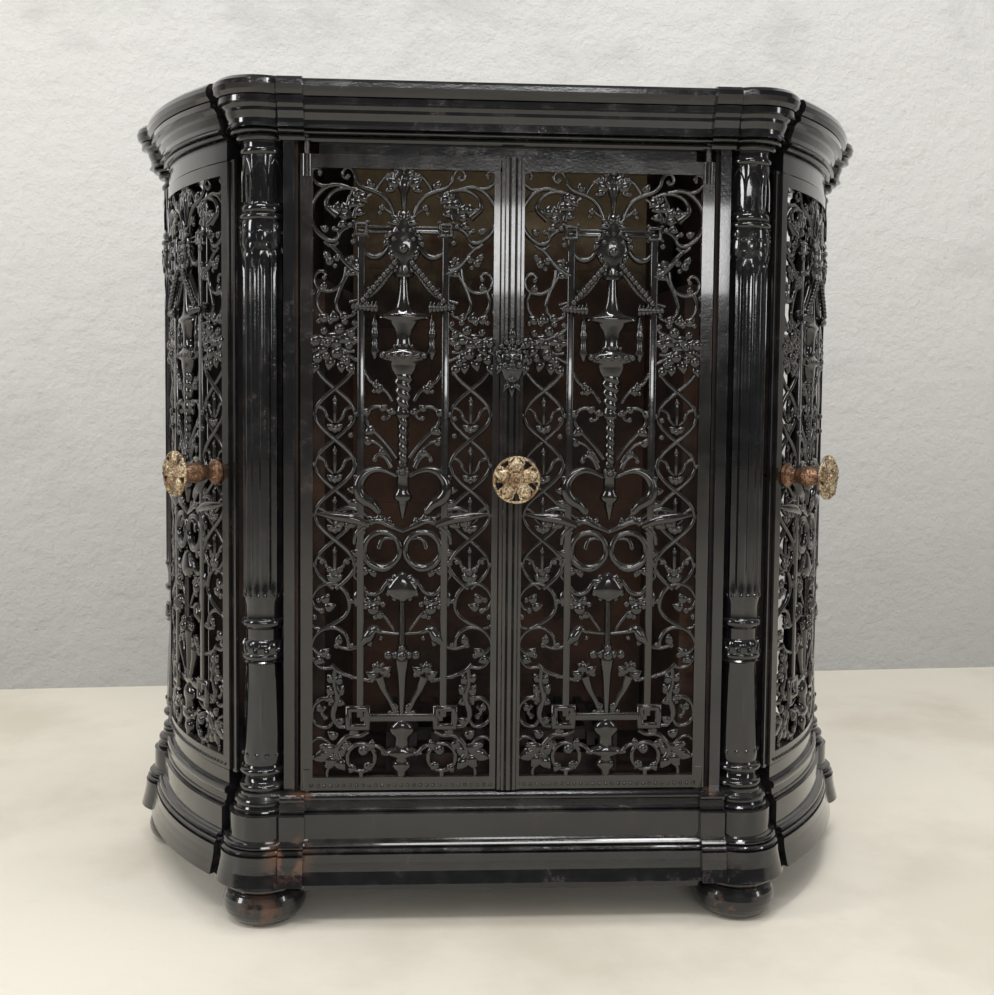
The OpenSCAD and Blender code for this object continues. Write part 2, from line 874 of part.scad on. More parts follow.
// Hinge pins: two for each of the four leaves
module hinge_pins() {
    color("#8a8c90")
        placed() {
            at_front_hinges() {
                translate([0, 0, base_top - pin_in])
                    cylinder(h = pin_in + door_gap + pin_in, r = pin_r, $fn = 48);
                translate([0, 0, leaf_z1 - pin_in])
                    cylinder(h = pin_in + head_gap + pin_in, r = pin_r, $fn = 48);
            }
            at_side_hinges() {
                translate([0, 0, base_top - pin_in])
                    cylinder(h = sill_h + side_gap + 2 * pin_in, r = pin_r, $fn = 48);
                translate([0, 0, side_z1 - pin_in])
                    cylinder(h = sill_h + side_gap + 2 * pin_in, r = pin_r, $fn = 48);
            }
        }
}

// Scrollwork. Points are [distance from the middle of the leaf, height above its foot],
// drawn for the front leaf; sx and sz fit them to another leaf.

function fit_points(p, sx, sz) = [for (q = p) [q[0] * sx, q[1] * sz]];

module scroll(p, w0, w1, sx, sz, t) {
    band(curve(fit_points(p, sx, sz), 4), w0, w1, t);
}

// Flat scrolls of one half of a leaf
module half_scrolls(sx, sz, t) {
    module loop(u, z, r, w) {
        translate([u * sx, z * sz, 0])
            difference() {
                cylinder(h = t, r = r * sx, $fn = 32);
                translate([0, 0, -1])
                    cylinder(h = t + 2, r = r * sx - w, $fn = 32);
            }
    }
    module ball(u, z, r) {
        translate([u * sx, z * sz, 0])
            cylinder(h = t, r = r * sx, $fn = 24);
    }
    module tie(u0, z0, u1, z1, w) {
        band([[u0 * sx, z0 * sz], [u1 * sx, z1 * sz]], w, w, t);
    }
    scroll([[6, 535], [13, 545], [22, 557], [37, 565], [47, 571], [51, 582]], 4, 5, sx, sz, t);
    scroll([[47, 563], [64, 563], [78, 553], [84, 538]], 4.5, 4, sx, sz, t);
    scroll([[46, 533], [56, 540], [66, 536], [78, 528], [86, 530]], 4, 4, sx, sz, t);
    scroll([[12, 513], [20, 503], [27, 500], [36, 504]], 4, 4, sx, sz, t);
    scroll([[7, 488], [20, 478], [31, 465], [38, 456]], 5, 6, sx, sz, t);
    scroll([[12, 440], [24, 428], [36, 430]], 4.5, 4, sx, sz, t);
    scroll([[8, 366], [20, 382], [38, 390]], 4, 5, sx, sz, t);
    scroll([[4, 340], [14, 332], [30, 338], [37, 350]], 4, 4, sx, sz, t);
    scroll([[5, 297], [24, 305], [34, 298], [38, 283]], 8, 7, sx, sz, t);
    scroll([[38, 283], [28, 273], [14, 268], [4, 258]], 6, 5, sx, sz, t);
    scroll([[40, 265], [54, 258], [70, 258], [86, 262]], 5, 5, sx, sz, t);
    scroll([[5, 187], [16, 186], [27, 190], [38, 198]], 4, 4, sx, sz, t);
    scroll([[0, 150], [12, 158], [20, 172], [27, 186]], 3.5, 4, sx, sz, t);
    scroll([[2, 136], [14, 146], [26, 150], [38, 146]], 5, 4, sx, sz, t);
    scroll([[3, 100], [14, 104], [24, 112], [38, 118]], 4, 5, sx, sz, t);
    scroll([[8, 36], [16, 44], [24, 40]], 4, 3.5, sx, sz, t);
    scroll([[40, 82], [56, 90], [70, 84], [86, 88]], 4.5, 4, sx, sz, t);
    scroll([[48, 30], [62, 42], [72, 38], [86, 44]], 5, 4, sx, sz, t);
    // Guilloche down each side
    for (s = [-1, 1])
        band([for (k = [0:48]) [(63 + s * 17.5 * sin(180 * (190 + 5 * k - 237) / 47)) * sx,
            (190 + 5 * k) * sz]], 4, 4, t);
    for (k = [0:4])
        band([[63 * sx, (192 + 47 * k) * sz], [63 * sx, (222 + 47 * k) * sz]], 2.4, 7, t);
    loop(64, 480, 15.5, 4);
    loop(63, 172, 20.8, 4);
    loop(63, 128, 20.8, 4);
    loop(63, 63, 20.8, 4);
    loop(20, 228, 19, 4);
    loop(24, 348, 12.5, 3.5);
    loop(36, 30, 13.5, 4);
    loop(66, 512, 18, 4);
    ball(66, 498, 5);
    ball(53, 420, 8);
    ball(66, 424, 9);
    ball(62, 438, 9.6);
    ball(74, 440, 8);
    ball(62, 454, 7);
    ball(27, 186, 6);
    ball(62, 63, 6);
    tie(44, 63, 80, 63, 3.5);
    tie(66, 522, 66, 590, 3.5);
    tie(62, 18, 62, 44, 4);
    tie(42, 420, 84, 420, 4);
    tie(42, 480, 50, 480, 5);
    tie(78, 480, 86, 480, 5);
}

// Raised motifs on the middle line: flower and mask, bell vase, torch, finial
module middle_motifs(sz, t) {
    balanced(fit_points([[4, 520], [4, 560], [9, 566], [14, 570], [15, 577], [10, 582],
        [6, 590]], 1, sz), t);
    balanced(fit_points([[10, 498], [16, 503], [14, 514], [9, 522], [10, 530], [7, 540]], 1, sz), t);
    balanced(fit_points([[23, 444], [21, 449], [11, 458], [5, 470], [4, 484], [9, 490],
        [9, 500]], 1, sz), t);
    balanced(fit_points([[13, 403], [22, 406], [22, 412], [9, 414], [6, 428], [10, 442],
        [15, 446]], 1, sz), t);
    balanced(fit_points([[2, 258], [5, 272], [9, 275], [9, 280], [6.5, 283], [6.5, 297],
        [8, 299], [8, 303], [5, 305], [6, 356], [13, 400], [13, 404]], 1, sz), t);
    balanced(fit_points([[17, 184], [17, 192], [6, 202], [3, 216], [3, 262]], 1, sz), t);
    balanced(fit_points([[3, 64], [6, 118], [15, 122], [15, 130], [4, 134], [3, 186]], 1, sz), t);
    balanced(fit_points([[5, 8], [5, 30], [15, 34], [15, 39], [6, 42], [6, 52], [12.5, 54],
        [11, 61], [5, 66]], 1, sz), t);
}

// Slender bars of a leaf of height h, with the cross bars between them and the square
// bosses at their ends, t thick. su fits the places across to another leaf.
module ladder(h, t, su) {
    low = cross_low_z * h / ref_h;
    top = cross_top_z * h / ref_h;
    module block(u, z, w, tall) {
        translate([u - w / 2, z - tall / 2, 0])
            cube([w, tall, t]);
    }
    both_sides() {
        block(bar_u * su, (low + top) / 2, bar_w, top - low);
        block(bar_u * su, top, boss_top, boss_top);
        block(bar_u * su + boss_out, low, boss_low, boss_low);
    }
    block(0, top, 2 * bar_u * su, 6);
    block(0, low, 2 * bar_u * su, 7);
}

module boss_holes(h, t, su) {
    module hole(u, z, w) {
        translate([u - w / 2, z - w / 2, 0])
            cube([w, w, t]);
    }
    both_sides() {
        hole(bar_u * su, cross_top_z * h / ref_h, boss_top_hole);
        hole(bar_u * su + boss_out, cross_low_z * h / ref_h, boss_low_hole);
    }
}

module front_window(t) {
    translate([-open_w / 2, rail_h, 0])
        cube([open_w, leaf_h - 2 * rail_h, t]);
}

// Front leaf frame; inner is the edge of the meeting stile
module front_frame(inner) {
    difference() {
        union() {
            difference() {
                translate([inner, front_face_y, leaf_z0])
                    cube([leaf_x - inner, leaf_t, leaf_h]);
                translate([axis_x, leaf_back + 1, leaf_z0])
                    rotate([90, 0, 0])
                        front_window(leaf_t + 2);
            }
            for (z = [leaf_z0, leaf_z1 - pin_in - 8])
                translate([hinge_x, hinge_y, z])
                    cylinder(h = pin_in + 8, r = knuckle_r, $fn = 48);
        }
        for (z = [leaf_z0 - 1, leaf_z1 - pin_in - 1])
            translate([hinge_x, hinge_y, z])
                cylinder(h = pin_in + 2, r = pin_r + run_gap, $fn = 48);
    }
}

// Pierced panel that fills the opening of the front leaf frame
module front_grille() {
    sx = open_w / ref_open_w;
    sz = leaf_h / ref_h;
    translate([axis_x, leaf_back - 1.5, leaf_z0])
        rotate([90, 0, 0])
            difference() {
                union() {
                    intersection() {
                        front_window(web_t);
                        both_sides()
                            half_scrolls(sx, sz, web_t);
                    }
                    intersection() {
                        front_window(relief_t);
                        middle_motifs(sz, relief_t);
                    }
                    translate([0, 0, -0.8])
                        ladder(leaf_h, bar_t, sx);
                }
                translate([0, 0, -2])
                    boss_holes(leaf_h, bar_t + 4, sx);
            }
}

module front_knob_bore() {
    translate([knob_x, strip_y - 1, knob_z])
        rotate([-90, 0, 0])
            cylinder(h = strip_t + leaf_t + 2, r = spindle_r + run_gap, $fn = 48);
}

module front_door_left_frame() {
    color("#1d1b1a")
        placed()
            flipped(-1)
                front_frame(leaf_inner_x);
}

module front_door_left_grille() {
    color("#211f1d")
        placed()
            flipped(-1)
                front_grille();
}

module front_door_right_frame() {
    color("#1d1b1a")
        placed()
            difference() {
                front_frame(-strip_left);
                front_knob_bore();
            }
}

module front_door_right_grille() {
    color("#211f1d")
        placed()
            front_grille();
}

// Reeded strip on the right leaf that covers the joint
module meeting_strip() {
    w = stile_inner_x + strip_left;
    color("#141517")
        placed()
            difference() {
                translate([-strip_left, front_face_y, leaf_z0])
                    linear_extrude(leaf_h)
                        polygon([[0, 0], [0, -strip_t * 0.5], [w * 0.12, -strip_t * 0.5],
                            [w * 0.18, -strip_t * 0.9], [w * 0.3, -strip_t * 0.9],
                            [w * 0.36, -strip_t * 0.6], [w * 0.42, -strip_t],
                            [w * 0.58, -strip_t], [w * 0.64, -strip_t * 0.6],
                            [w * 0.7, -strip_t * 0.9], [w * 0.82, -strip_t * 0.9],
                            [w * 0.88, -strip_t * 0.5], [w, -strip_t * 0.5], [w, 0]]);
                front_knob_bore();
            }
}

// Small grotesque mask with drops above and below, riveted on the strip
module strip_mask() {
    mid_x = (stile_inner_x - strip_left) / 2;
    color("#141517")
        placed()
            translate([mid_x, strip_y, leaf_z0 + 405])
                rotate([90, 0, 0]) {
                    linear_extrude(2)
                        polygon([[0, -38], [4, -28], [8, -22], [9, -12], [11, -4], [10.5, 6], [8, 14],
                            [9, 20], [4, 26], [0, 36], [-4, 26], [-9, 20], [-8, 14], [-10.5, 6],
                            [-11, -4], [-9, -12], [-8, -22], [-4, -28]]);
                    translate([0, 2, 2])
                        intersection() {
                            sphere(r = 8, $fn = 48);
                            translate([-9, -9, 0])
                                cube([18, 18, 5]);
                        }
                }
}

// Side leaf: the same pattern, laid on the bow

side_su = side_w / (leaf_x - leaf_inner_x);

// Cuts a flat pattern, drawn up from the foot of the leaf, out of the bowed leaf
module on_side_leaf() {
    on_bow(side_am)
        translate([0, -leaf_r0 + 20, side_z0])
            rotate([90, 0, 0])
                children();
}

module side_window(r0, r1) {
    sector(r0, r1, side_a0 + side_stile_a, side_a1 - side_stile_a, side_z0 + rail_h,
        side_z1 - rail_h);
}

// Round bar on the side knob's axis, from radius r1 of the bow in to r0
module on_knob_axis(r0, r1, r) {
    on_bow(side_knob_a)
        translate([0, -r1, knob_z])
            rotate([-90, 0, 0])
                cylinder(h = r1 - r0, r = r, $fn = 48);
}

module side_knob_bore() {
    on_knob_axis(leaf_r0 - 5, leaf_r1 + 5, spindle_r + run_gap);
}

module side_frame(side) {
    color("#1d1b1a")
        placed()
            flipped(side)
                difference() {
                    union() {
                        difference() {
                            sector(leaf_r0, leaf_r1, side_a0, side_a1, side_z0, side_z1);
                            side_window(leaf_r0 - 1, leaf_r1 + 1);
                        }
                        on_knob_axis(leaf_r0, leaf_r1 - leaf_t / 4, boss_r);
                        on_bow(side_hinge_a)
                            for (z = [side_z0, side_z1 - pin_in - 8])
                                translate([0, -side_hinge_r, z])
                                    cylinder(h = pin_in + 8, r = knuckle_r, $fn = 48);
                    }
                    on_bow(side_hinge_a)
                        for (z = [side_z0 - 1, side_z1 - pin_in - 1])
                            translate([0, -side_hinge_r, z])
                                cylinder(h = pin_in + 2, r = pin_r + run_gap, $fn = 48);
                    side_knob_bore();
                }
}

module side_grille(side) {
    sz = side_h / ref_h;
    color("#211f1d")
        placed()
            flipped(side)
                difference() {
                    union() {
                        intersection() {
                            side_window(leaf_r0 + 1.5, leaf_r0 + 1.5 + web_t);
                            on_side_leaf() {
                                both_sides()
                                    half_scrolls(side_su, sz, 40);
                                middle_motifs(sz, 40);
                            }
                        }
                        intersection() {
                            side_window(leaf_r0 + 0.7, leaf_r0 + 0.7 + bar_t);
                            on_side_leaf()
                                ladder(side_h, 41, side_su);
                        }
                    }
                    on_side_leaf()
                        boss_holes(side_h, 42, side_su);
                    on_knob_axis(leaf_r0 - 5, leaf_r1 + 5, boss_r);
                }
}

// Knobs: a pierced rosette on a turned stem, on a spindle that carries a latch tongue.
// Built at the origin, pointing to -Y, with the face of the door at y = 0.

module rosette() {
    translate([0, -knob_out, 0])
        rotate([-90, 0, 0]) {
            linear_extrude(knob_t - 2)
                translate([0, 0])
                    difference() {
                        union() {
                            circle(knob_r * 0.72, $fn = 48);
                            for (k = [0:petals - 1])
                                rotate(360 / petals * k)
                                    translate([knob_r * 0.7, 0])
                                        circle(knob_r * 0.3, $fn = 32);
                        }
                        for (k = [0:petals - 1])
                            rotate(360 / petals * k)
                                translate([knob_r * 0.62, 0])
                                    circle(knob_r * 0.155, $fn = 24);
                    }
            translate([0, 0, knob_t - 2])
                cylinder(h = 2, r = knob_r * 0.42);
        }
}

// Turned stem and spindle, through a leaf that is t thick behind the face
module spindle(t) {
    rotate([90, 0, 0])
        rotate_extrude($fn = 64)
            polygon([[0, -t - 14], [spindle_r, -t - 14], [spindle_r, gap], [12, gap], [12, 2.5],
                [9, 4], [7, 7], [6.5, 11], [8, 15], [9.5, 20], [9.5, 25], [8, 30], [6.5, 34],
                [7.5, 38], [9, knob_out - knob_t], [0, knob_out - knob_t]]);
}

// Tongue that points up at rest, with its nut, behind a leaf that is t thick
module latch(t, l) {
    difference() {
        union() {
            translate([-5, t + gap, 0])
                cube([10, 3, l]);
            translate([0, t + gap, 0])
                rotate([-90, 0, 0])
                    cylinder(h = 3, r = 9, $fn = 48);
            translate([0, t + gap + 3, 0])
                rotate([-90, 0, 0])
                    cylinder(h = 5, r = 7, $fn = 6);
        }
        translate([0, t, 0])
            rotate([-90, 0, 0])
                cylinder(h = 20, r = spindle_r + run_gap, $fn = 48);
    }
}

module at_front_knob() {
    placed()
        translate([knob_x, strip_y, knob_z])
            children();
}

module at_side_knob(side) {
    placed()
        flipped(side)
            on_bow(side_knob_a)
                translate([0, -leaf_r1, knob_z])
                    children();
}

module knob_front() {
    color("#8a7448")
        at_front_knob()
            rosette();
}

module spindle_front() {
    color("#7d5f3c")
        at_front_knob()
            spindle(leaf_t + strip_t);
}

module latch_front() {
    color("#3c3d40")
        at_front_knob()
            latch(leaf_t + strip_t, tongue_l);
}

module knob_side(side) {
    color("#8a7448")
        at_side_knob(side)
            rosette();
}

module spindle_side(side) {
    color("#7d5f3c")
        at_side_knob(side)
            spindle(leaf_t);
}

module latch_side(side) {
    color("#3c3d40")
        at_side_knob(side)
            latch(leaf_t + 0.6, side_tongue_l);
}

base_plinth();
hearth_plate();
foot(0);  // foot_front_left
foot(1);  // foot_front_right
foot(2);  // foot_rear_left
foot(3);  // foot_rear_right
column(0);  // column_front_left
column(1);  // column_front_right
column(2);  // column_rear_left
column(3);  // column_rear_right
tie_rods();
dome_nuts();
foot_nuts();
jamb_front(-1);  // jamb_front_left
jamb_front(1);  // jamb_front_right
jamb_side(-1);  // jamb_side_left
jamb_side(1);  // jamb_side_right
cheek(-1);  // cheek_left
cheek(1);  // cheek_right
back_plate();
flue_collar();
flue_bolts();
firebricks_back();
firebrick(-1);  // firebrick_left
firebrick(1);  // firebrick_right
fire_grate();
ash_pan();
cornice();
cover_plate();
hinge_pins();
front_door_left_frame();
front_door_left_grille();
front_door_right_frame();
front_door_right_grille();
meeting_strip();
strip_mask();
side_frame(-1);  // side_door_left_frame
side_grille(-1);  // side_door_left_grille
side_frame(1);  // side_door_right_frame
side_grille(1);  // side_door_right_grille
knob_front();
spindle_front();
latch_front();
knob_side(-1);  // knob_left
spindle_side(-1);  // spindle_left
latch_side(-1);  // latch_left
knob_side(1);  // knob_right
spindle_side(1);  // spindle_right
latch_side(1);  // latch_right
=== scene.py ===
"""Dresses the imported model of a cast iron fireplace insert.

Enamelled iron, pierced leaves, turned columns, brass knobs and a small mask, before a pale wall.
"""

import json
import logging
import math
from dataclasses import dataclass, field
from enum import Enum
from typing import Callable, Mapping, Sequence

import bpy
from mathutils import Matrix, Vector


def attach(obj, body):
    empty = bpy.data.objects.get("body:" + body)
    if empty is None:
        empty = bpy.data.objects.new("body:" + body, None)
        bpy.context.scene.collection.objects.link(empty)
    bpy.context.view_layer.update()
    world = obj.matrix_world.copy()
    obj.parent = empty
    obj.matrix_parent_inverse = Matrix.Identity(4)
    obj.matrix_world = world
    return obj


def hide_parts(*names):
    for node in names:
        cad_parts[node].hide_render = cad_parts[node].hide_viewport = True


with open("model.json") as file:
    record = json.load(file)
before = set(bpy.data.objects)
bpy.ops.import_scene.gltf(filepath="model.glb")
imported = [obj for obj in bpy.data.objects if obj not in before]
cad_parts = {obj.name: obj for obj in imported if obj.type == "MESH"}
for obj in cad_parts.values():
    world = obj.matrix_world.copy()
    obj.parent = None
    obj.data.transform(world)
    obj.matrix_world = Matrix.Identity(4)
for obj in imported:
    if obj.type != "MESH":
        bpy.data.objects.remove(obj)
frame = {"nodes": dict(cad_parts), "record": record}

MM = 0.001
SAME_PLACE = 1e-6  # metres: vertices nearer than this are one
SEAM_GAP = 1e-5  # metres: how far the two halves of a pattern may stand apart at its middle
LARGE_BERRY = 4.0  # millimetres: from this radius on, a berry is a finer ball
LOG = logging.getLogger("insert")
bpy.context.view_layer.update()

Point = tuple[float, float]


# ---------------------------------------------------------------- modelling


def choose(*pieces: bpy.types.Object) -> None:
    """Selects only these objects and makes the first one active.

    Args:
        pieces: The objects to work on.
    """
    bpy.ops.object.select_all(action="DESELECT")
    for piece in pieces:
        piece.select_set(True)
    if pieces:
        bpy.context.view_layer.objects.active = pieces[0]


def added(name: str) -> bpy.types.Object:
    """Names the object that an operator has just added.

    Args:
        name: The name of the object and of its mesh.

    Returns:
        The object.
    """
    piece = bpy.context.object
    piece.name = name
    piece.data.name = name
    return piece


def joined(pieces: Sequence[bpy.types.Object], name: str) -> bpy.types.Object:
    """Joins objects into one.

    Args:
        pieces: The objects, of which the first one stays.
        name: The name of the result.

    Returns:
        The joined object.
    """
    choose(*pieces)
    if len(pieces) > 1:
        bpy.ops.object.join()
    return added(name)


def settled(piece: bpy.types.Object) -> bpy.types.Object:
    """Puts an object's place, turn and size into its mesh.

    Args:
        piece: The object.

    Returns:
        The same object.
    """
    choose(piece)
    bpy.ops.object.transform_apply(location=True, rotation=True, scale=True)
    return piece


def copied(piece: bpy.types.Object, name: str, place: Matrix | None = None) -> bpy.types.Object:
    """Copies an object with a mesh of its own.

    Args:
        piece: The model.
        name: The name of the copy.
        place: Where the copy's mesh goes.

    Returns:
        The copy.
    """
    twin = piece.copy()
    twin.data = piece.data.copy()
    twin.name = name
    twin.data.name = name
    bpy.context.scene.collection.objects.link(twin)
    if place is not None:
        twin.data.transform(place)
    return twin


def reshaped(piece: bpy.types.Object, move: Callable[[Vector], Vector]) -> bpy.types.Object:
    """Moves each vertex of a mesh, as a hand would push it.

    Args:
        piece: The object.
        move: Gives the new place of a vertex from its old one.

    Returns:
        The same object.
    """
    for vertex in piece.data.vertices:
        vertex.co = move(vertex.co.copy())
    piece.data.update()
    return piece


def cleaned(piece: bpy.types.Object) -> bpy.types.Object:
    """Merges doubles and turns the faces outwards.

    Args:
        piece: The object.

    Returns:
        The same object.
    """
    choose(piece)
    bpy.ops.object.mode_set(mode="EDIT")
    bpy.ops.mesh.select_all(action="SELECT")
    bpy.ops.mesh.remove_doubles(threshold=SAME_PLACE)
    bpy.ops.mesh.normals_make_consistent(inside=False)
    bpy.ops.object.mode_set(mode="OBJECT")
    return piece


def smoothed(piece: bpy.types.Object, angle: float) -> bpy.types.Object:
    """Shades faces smooth where they meet at less than an angle.

    Args:
        piece: The object.
        angle: The angle, in degrees.

    Returns:
        The same object.
    """
    choose(piece)
    bpy.ops.object.shade_smooth_by_angle(angle=math.radians(angle))
    return piece


def mirrored(piece: bpy.types.Object) -> bpy.types.Object:
    """Adds the other half across x = 0.

    Args:
        piece: The object.

    Returns:
        The same object.
    """
    choose(piece)
    bpy.ops.object.modifier_add(type="MIRROR")
    piece.modifiers[-1].merge_threshold = SEAM_GAP
    bpy.ops.object.modifier_apply(modifier=piece.modifiers[-1].name)
    return piece


def turned(outline: Sequence[Point], steps: int, name: str) -> bpy.types.Object:
    """Turns an outline round the upright axis.

    Args:
        outline: Radius and height in millimetres, from axis to axis.
        steps: How many steps the spin takes.
        name: The name of the piece.

    Returns:
        The closed turned piece.
    """
    choose()
    bpy.ops.mesh.primitive_circle_add(vertices=len(outline), radius=MM)
    piece = added(name)
    for vertex, (radius, height) in zip(piece.data.vertices, outline):
        vertex.co = (radius * MM, 0.0, height * MM)
    bpy.ops.object.mode_set(mode="EDIT")
    bpy.ops.mesh.select_all(action="SELECT")
    bpy.ops.mesh.spin(steps=steps, angle=math.tau, center=(0, 0, 0), axis=(0, 0, 1))
    bpy.ops.object.mode_set(mode="OBJECT")
    return cleaned(piece)


def block(at: Vector, size: Vector, bevel: float) -> bpy.types.Object:
    """Models a bar with rounded arrises.

    Args:
        at: Its middle, in millimetres.
        size: Its size, in millimetres.
        bevel: Width of the arris, in millimetres.

    Returns:
        The bar.
    """
    choose()
    bpy.ops.mesh.primitive_cube_add(size=1.0, location=at * MM, scale=size * MM)
    piece = settled(added("block"))
    bpy.ops.object.modifier_add(type="BEVEL")
    piece.modifiers[-1].width = bevel * MM
    piece.modifiers[-1].segments = 2
    bpy.ops.object.modifier_apply(modifier=piece.modifiers[-1].name)
    return piece


def square_ring(at: Vector, outer: float, hole: float, depth: float) -> bpy.types.Object:
    """Models a raised square frame round a square hole.

    Args:
        at: Its middle, in millimetres.
        outer: Its outer width.
        hole: The width of its hole.
        depth: Its thickness.

    Returns:
        The frame, in the plane x, z.
    """
    choose()
    across = (outer + hole) / 4 * math.sqrt(2)
    thick = (outer - hole) / 4 * math.sqrt(2)
    bpy.ops.mesh.primitive_torus_add(major_segments=4, minor_segments=10, major_radius=across * MM,
                                     minor_radius=thick * MM)
    piece = added("ring")
    piece.data.transform(
        Matrix.Translation(at * MM)
        @ Matrix.Rotation(math.radians(90), 4, "X")
        @ Matrix.Diagonal((1.0, 1.0, depth / 2 / thick, 1.0))
        @ Matrix.Rotation(math.radians(45), 4, "Z")
    )
    return piece


def polar(radius: float, turn: float) -> Point:
    """Gives the point at a distance from the origin and a turn in degrees."""
    return radius * math.cos(math.radians(turn)), radius * math.sin(math.radians(turn))


def bead(radius: float, low: float, high: float, bulge: float) -> list[Point]:
    """Draws a round bead on an outline.

    Args:
        radius: The radius that it stands on, in millimetres.
        low: The height of its foot.
        high: The height of its top.
        bulge: How far it stands proud.

    Returns:
        Its points, from the foot up.
    """
    middle, half = (low + high) / 2, (high - low) / 2
    return [
        (radius + bulge * math.cos(math.radians(a)), middle + half * math.sin(math.radians(a)))
        for a in range(-90, 91, 30)
    ]


@dataclass(frozen=True)
class Bar:
    """A cast bar along a smooth line, in the plane of a leaf."""

    line: Sequence[Point]
    widths: Sequence[float]
    closed: bool = False
    lift: float = 0.0

    def width(self, share: float) -> float:
        """Works out a width between the widths given.

        Args:
            share: The share of the line's length, from 0 to 1.

        Returns:
            The width there, in millimetres.
        """
        at = share * (len(self.widths) - 1)
        low = min(int(at), len(self.widths) - 2)
        return self.widths[low] + (self.widths[low + 1] - self.widths[low]) * (at - low)


def scrollwork(bars: Sequence[Bar], depth: float, name: str) -> bpy.types.Object:
    """Lays rounded bars along smooth lines in the plane x, z.

    Args:
        bars: The bars, in millimetres.
        depth: Thickness of a bar as a share of its width.
        name: The name of the piece.

    Returns:
        One mesh with all the bars.
    """
    choose()
    bpy.ops.curve.primitive_bezier_curve_add()
    piece = added(name)
    curve = piece.data
    curve.splines.clear()
    curve.dimensions = "3D"
    curve.bevel_depth = MM
    curve.bevel_resolution = 2
    curve.resolution_u = 4
    curve.use_fill_caps = True
    for bar in bars:
        spline = curve.splines.new("BEZIER")
        spline.bezier_points.add(len(bar.line) - 1)
        spline.use_cyclic_u = bar.closed
        last = max(len(bar.line) - 1, 1)
        for i, (knot, (across, up)) in enumerate(zip(spline.bezier_points, bar.line)):
            knot.co = (across * MM, -bar.lift * MM / depth, up * MM)
            knot.handle_left_type = knot.handle_right_type = "AUTO"
            knot.radius = bar.width(i / last) / 2
    choose(piece)
    bpy.ops.object.convert(target="MESH")
    return reshaped(added(name), lambda p: Vector((p.x, p.y * depth, p.z)))


class Seed(Enum):
    """The small shapes that the castings repeat."""

    BALL = "ball"
    LEAFLET = "leaflet"
    BUTTON = "button"


@dataclass
class Seeds:
    """Makes each small shape once and copies it to its places."""

    models: dict[Seed, bpy.types.Object] = field(default_factory=dict)

    def __post_init__(self) -> None:
        """Models the small shapes."""
        for seed, segments, rings in ((Seed.BALL, 12, 8), (Seed.LEAFLET, 8, 7), (Seed.BUTTON, 8, 5)):
            choose()
            bpy.ops.mesh.primitive_uv_sphere_add(segments=segments, ring_count=rings, radius=1.0)
            self.models[seed] = added("seed_" + seed.value)
        leaf = self.models[Seed.LEAFLET]
        leaf.data.transform(Matrix.Rotation(math.radians(90), 4, "Y"))
        reshaped(leaf, self.pointed)

    @staticmethod
    def berry(radius: float) -> Seed:
        """Chooses the ball for a berry of a radius."""
        return Seed.BALL if radius >= LARGE_BERRY else Seed.BUTTON

    @staticmethod
    def pointed(p: Vector) -> Vector:
        """Draws one end of a ball out to a leaf's tip, with a shallow fold along the middle."""
        slim = 1.0 - 0.45 * p.x - 0.35 * max(p.x, 0.0) ** 2
        return Vector((p.x * 1.05, p.y * (0.75 + 0.25 * abs(p.z)), p.z * slim))

    def place(self, seed: Seed, at: Vector, size: Vector, turn: float = 0.0) -> bpy.types.Object:
        """Copies a shape to a place on a leaf.

        Args:
            seed: The shape.
            at: Its middle, in millimetres.
            size: Its half sizes across, outwards and up, in millimetres.
            turn: Its turn in the plane of the leaf, in degrees.

        Returns:
            The copy.
        """
        move = (
            Matrix.Translation(at * MM)
            @ Matrix.Rotation(math.radians(-turn), 4, "Y")
            @ Matrix.Diagonal((*(size * MM), 1.0))
        )
        return copied(self.models[seed], seed.value, move)

    def put_away(self) -> None:
        """Removes the models once all the copies are made."""
        for model in self.models.values():
            bpy.data.objects.remove(model)


# ---------------------------------------------------------------- materials


class Value:
    """A number socket that can stand in sums, so that shader maths reads as Python."""

    def __init__(self, nodes: "Nodes", socket: bpy.types.NodeSocket) -> None:
        """Keeps the socket and the tree that it is in."""
        self.nodes = nodes
        self.socket = socket

    def __add__(self, other: "Value | float") -> "Value":
        """Adds."""
        return self.nodes.maths("ADD", self, other)

    __radd__ = __add__

    def __mul__(self, other: "Value | float") -> "Value":
        """Multiplies."""
        return self.nodes.maths("MULTIPLY", self, other)

    __rmul__ = __mul__

    def __sub__(self, other: "Value | float") -> "Value":
        """Subtracts."""
        return self.nodes.maths("SUBTRACT", self, other)

    def __rsub__(self, other: float) -> "Value":
        """Subtracts this from a number."""
        return self.nodes.maths("SUBTRACT", other, self)

    def step(self, low: float, high: float) -> "Value":
        """Rises smoothly from 0 to 1.

        Args:
            low: Where the rise starts.
            high: Where it ends.

        Returns:
            The risen value.
        """
        node = self.nodes.node(
            "ShaderNodeMapRange",
            {"interpolation_type": "SMOOTHSTEP"},
            {"Value": self, "From Min": low, "From Max": high},
        )
        return Value(self.nodes, node.outputs["Result"])


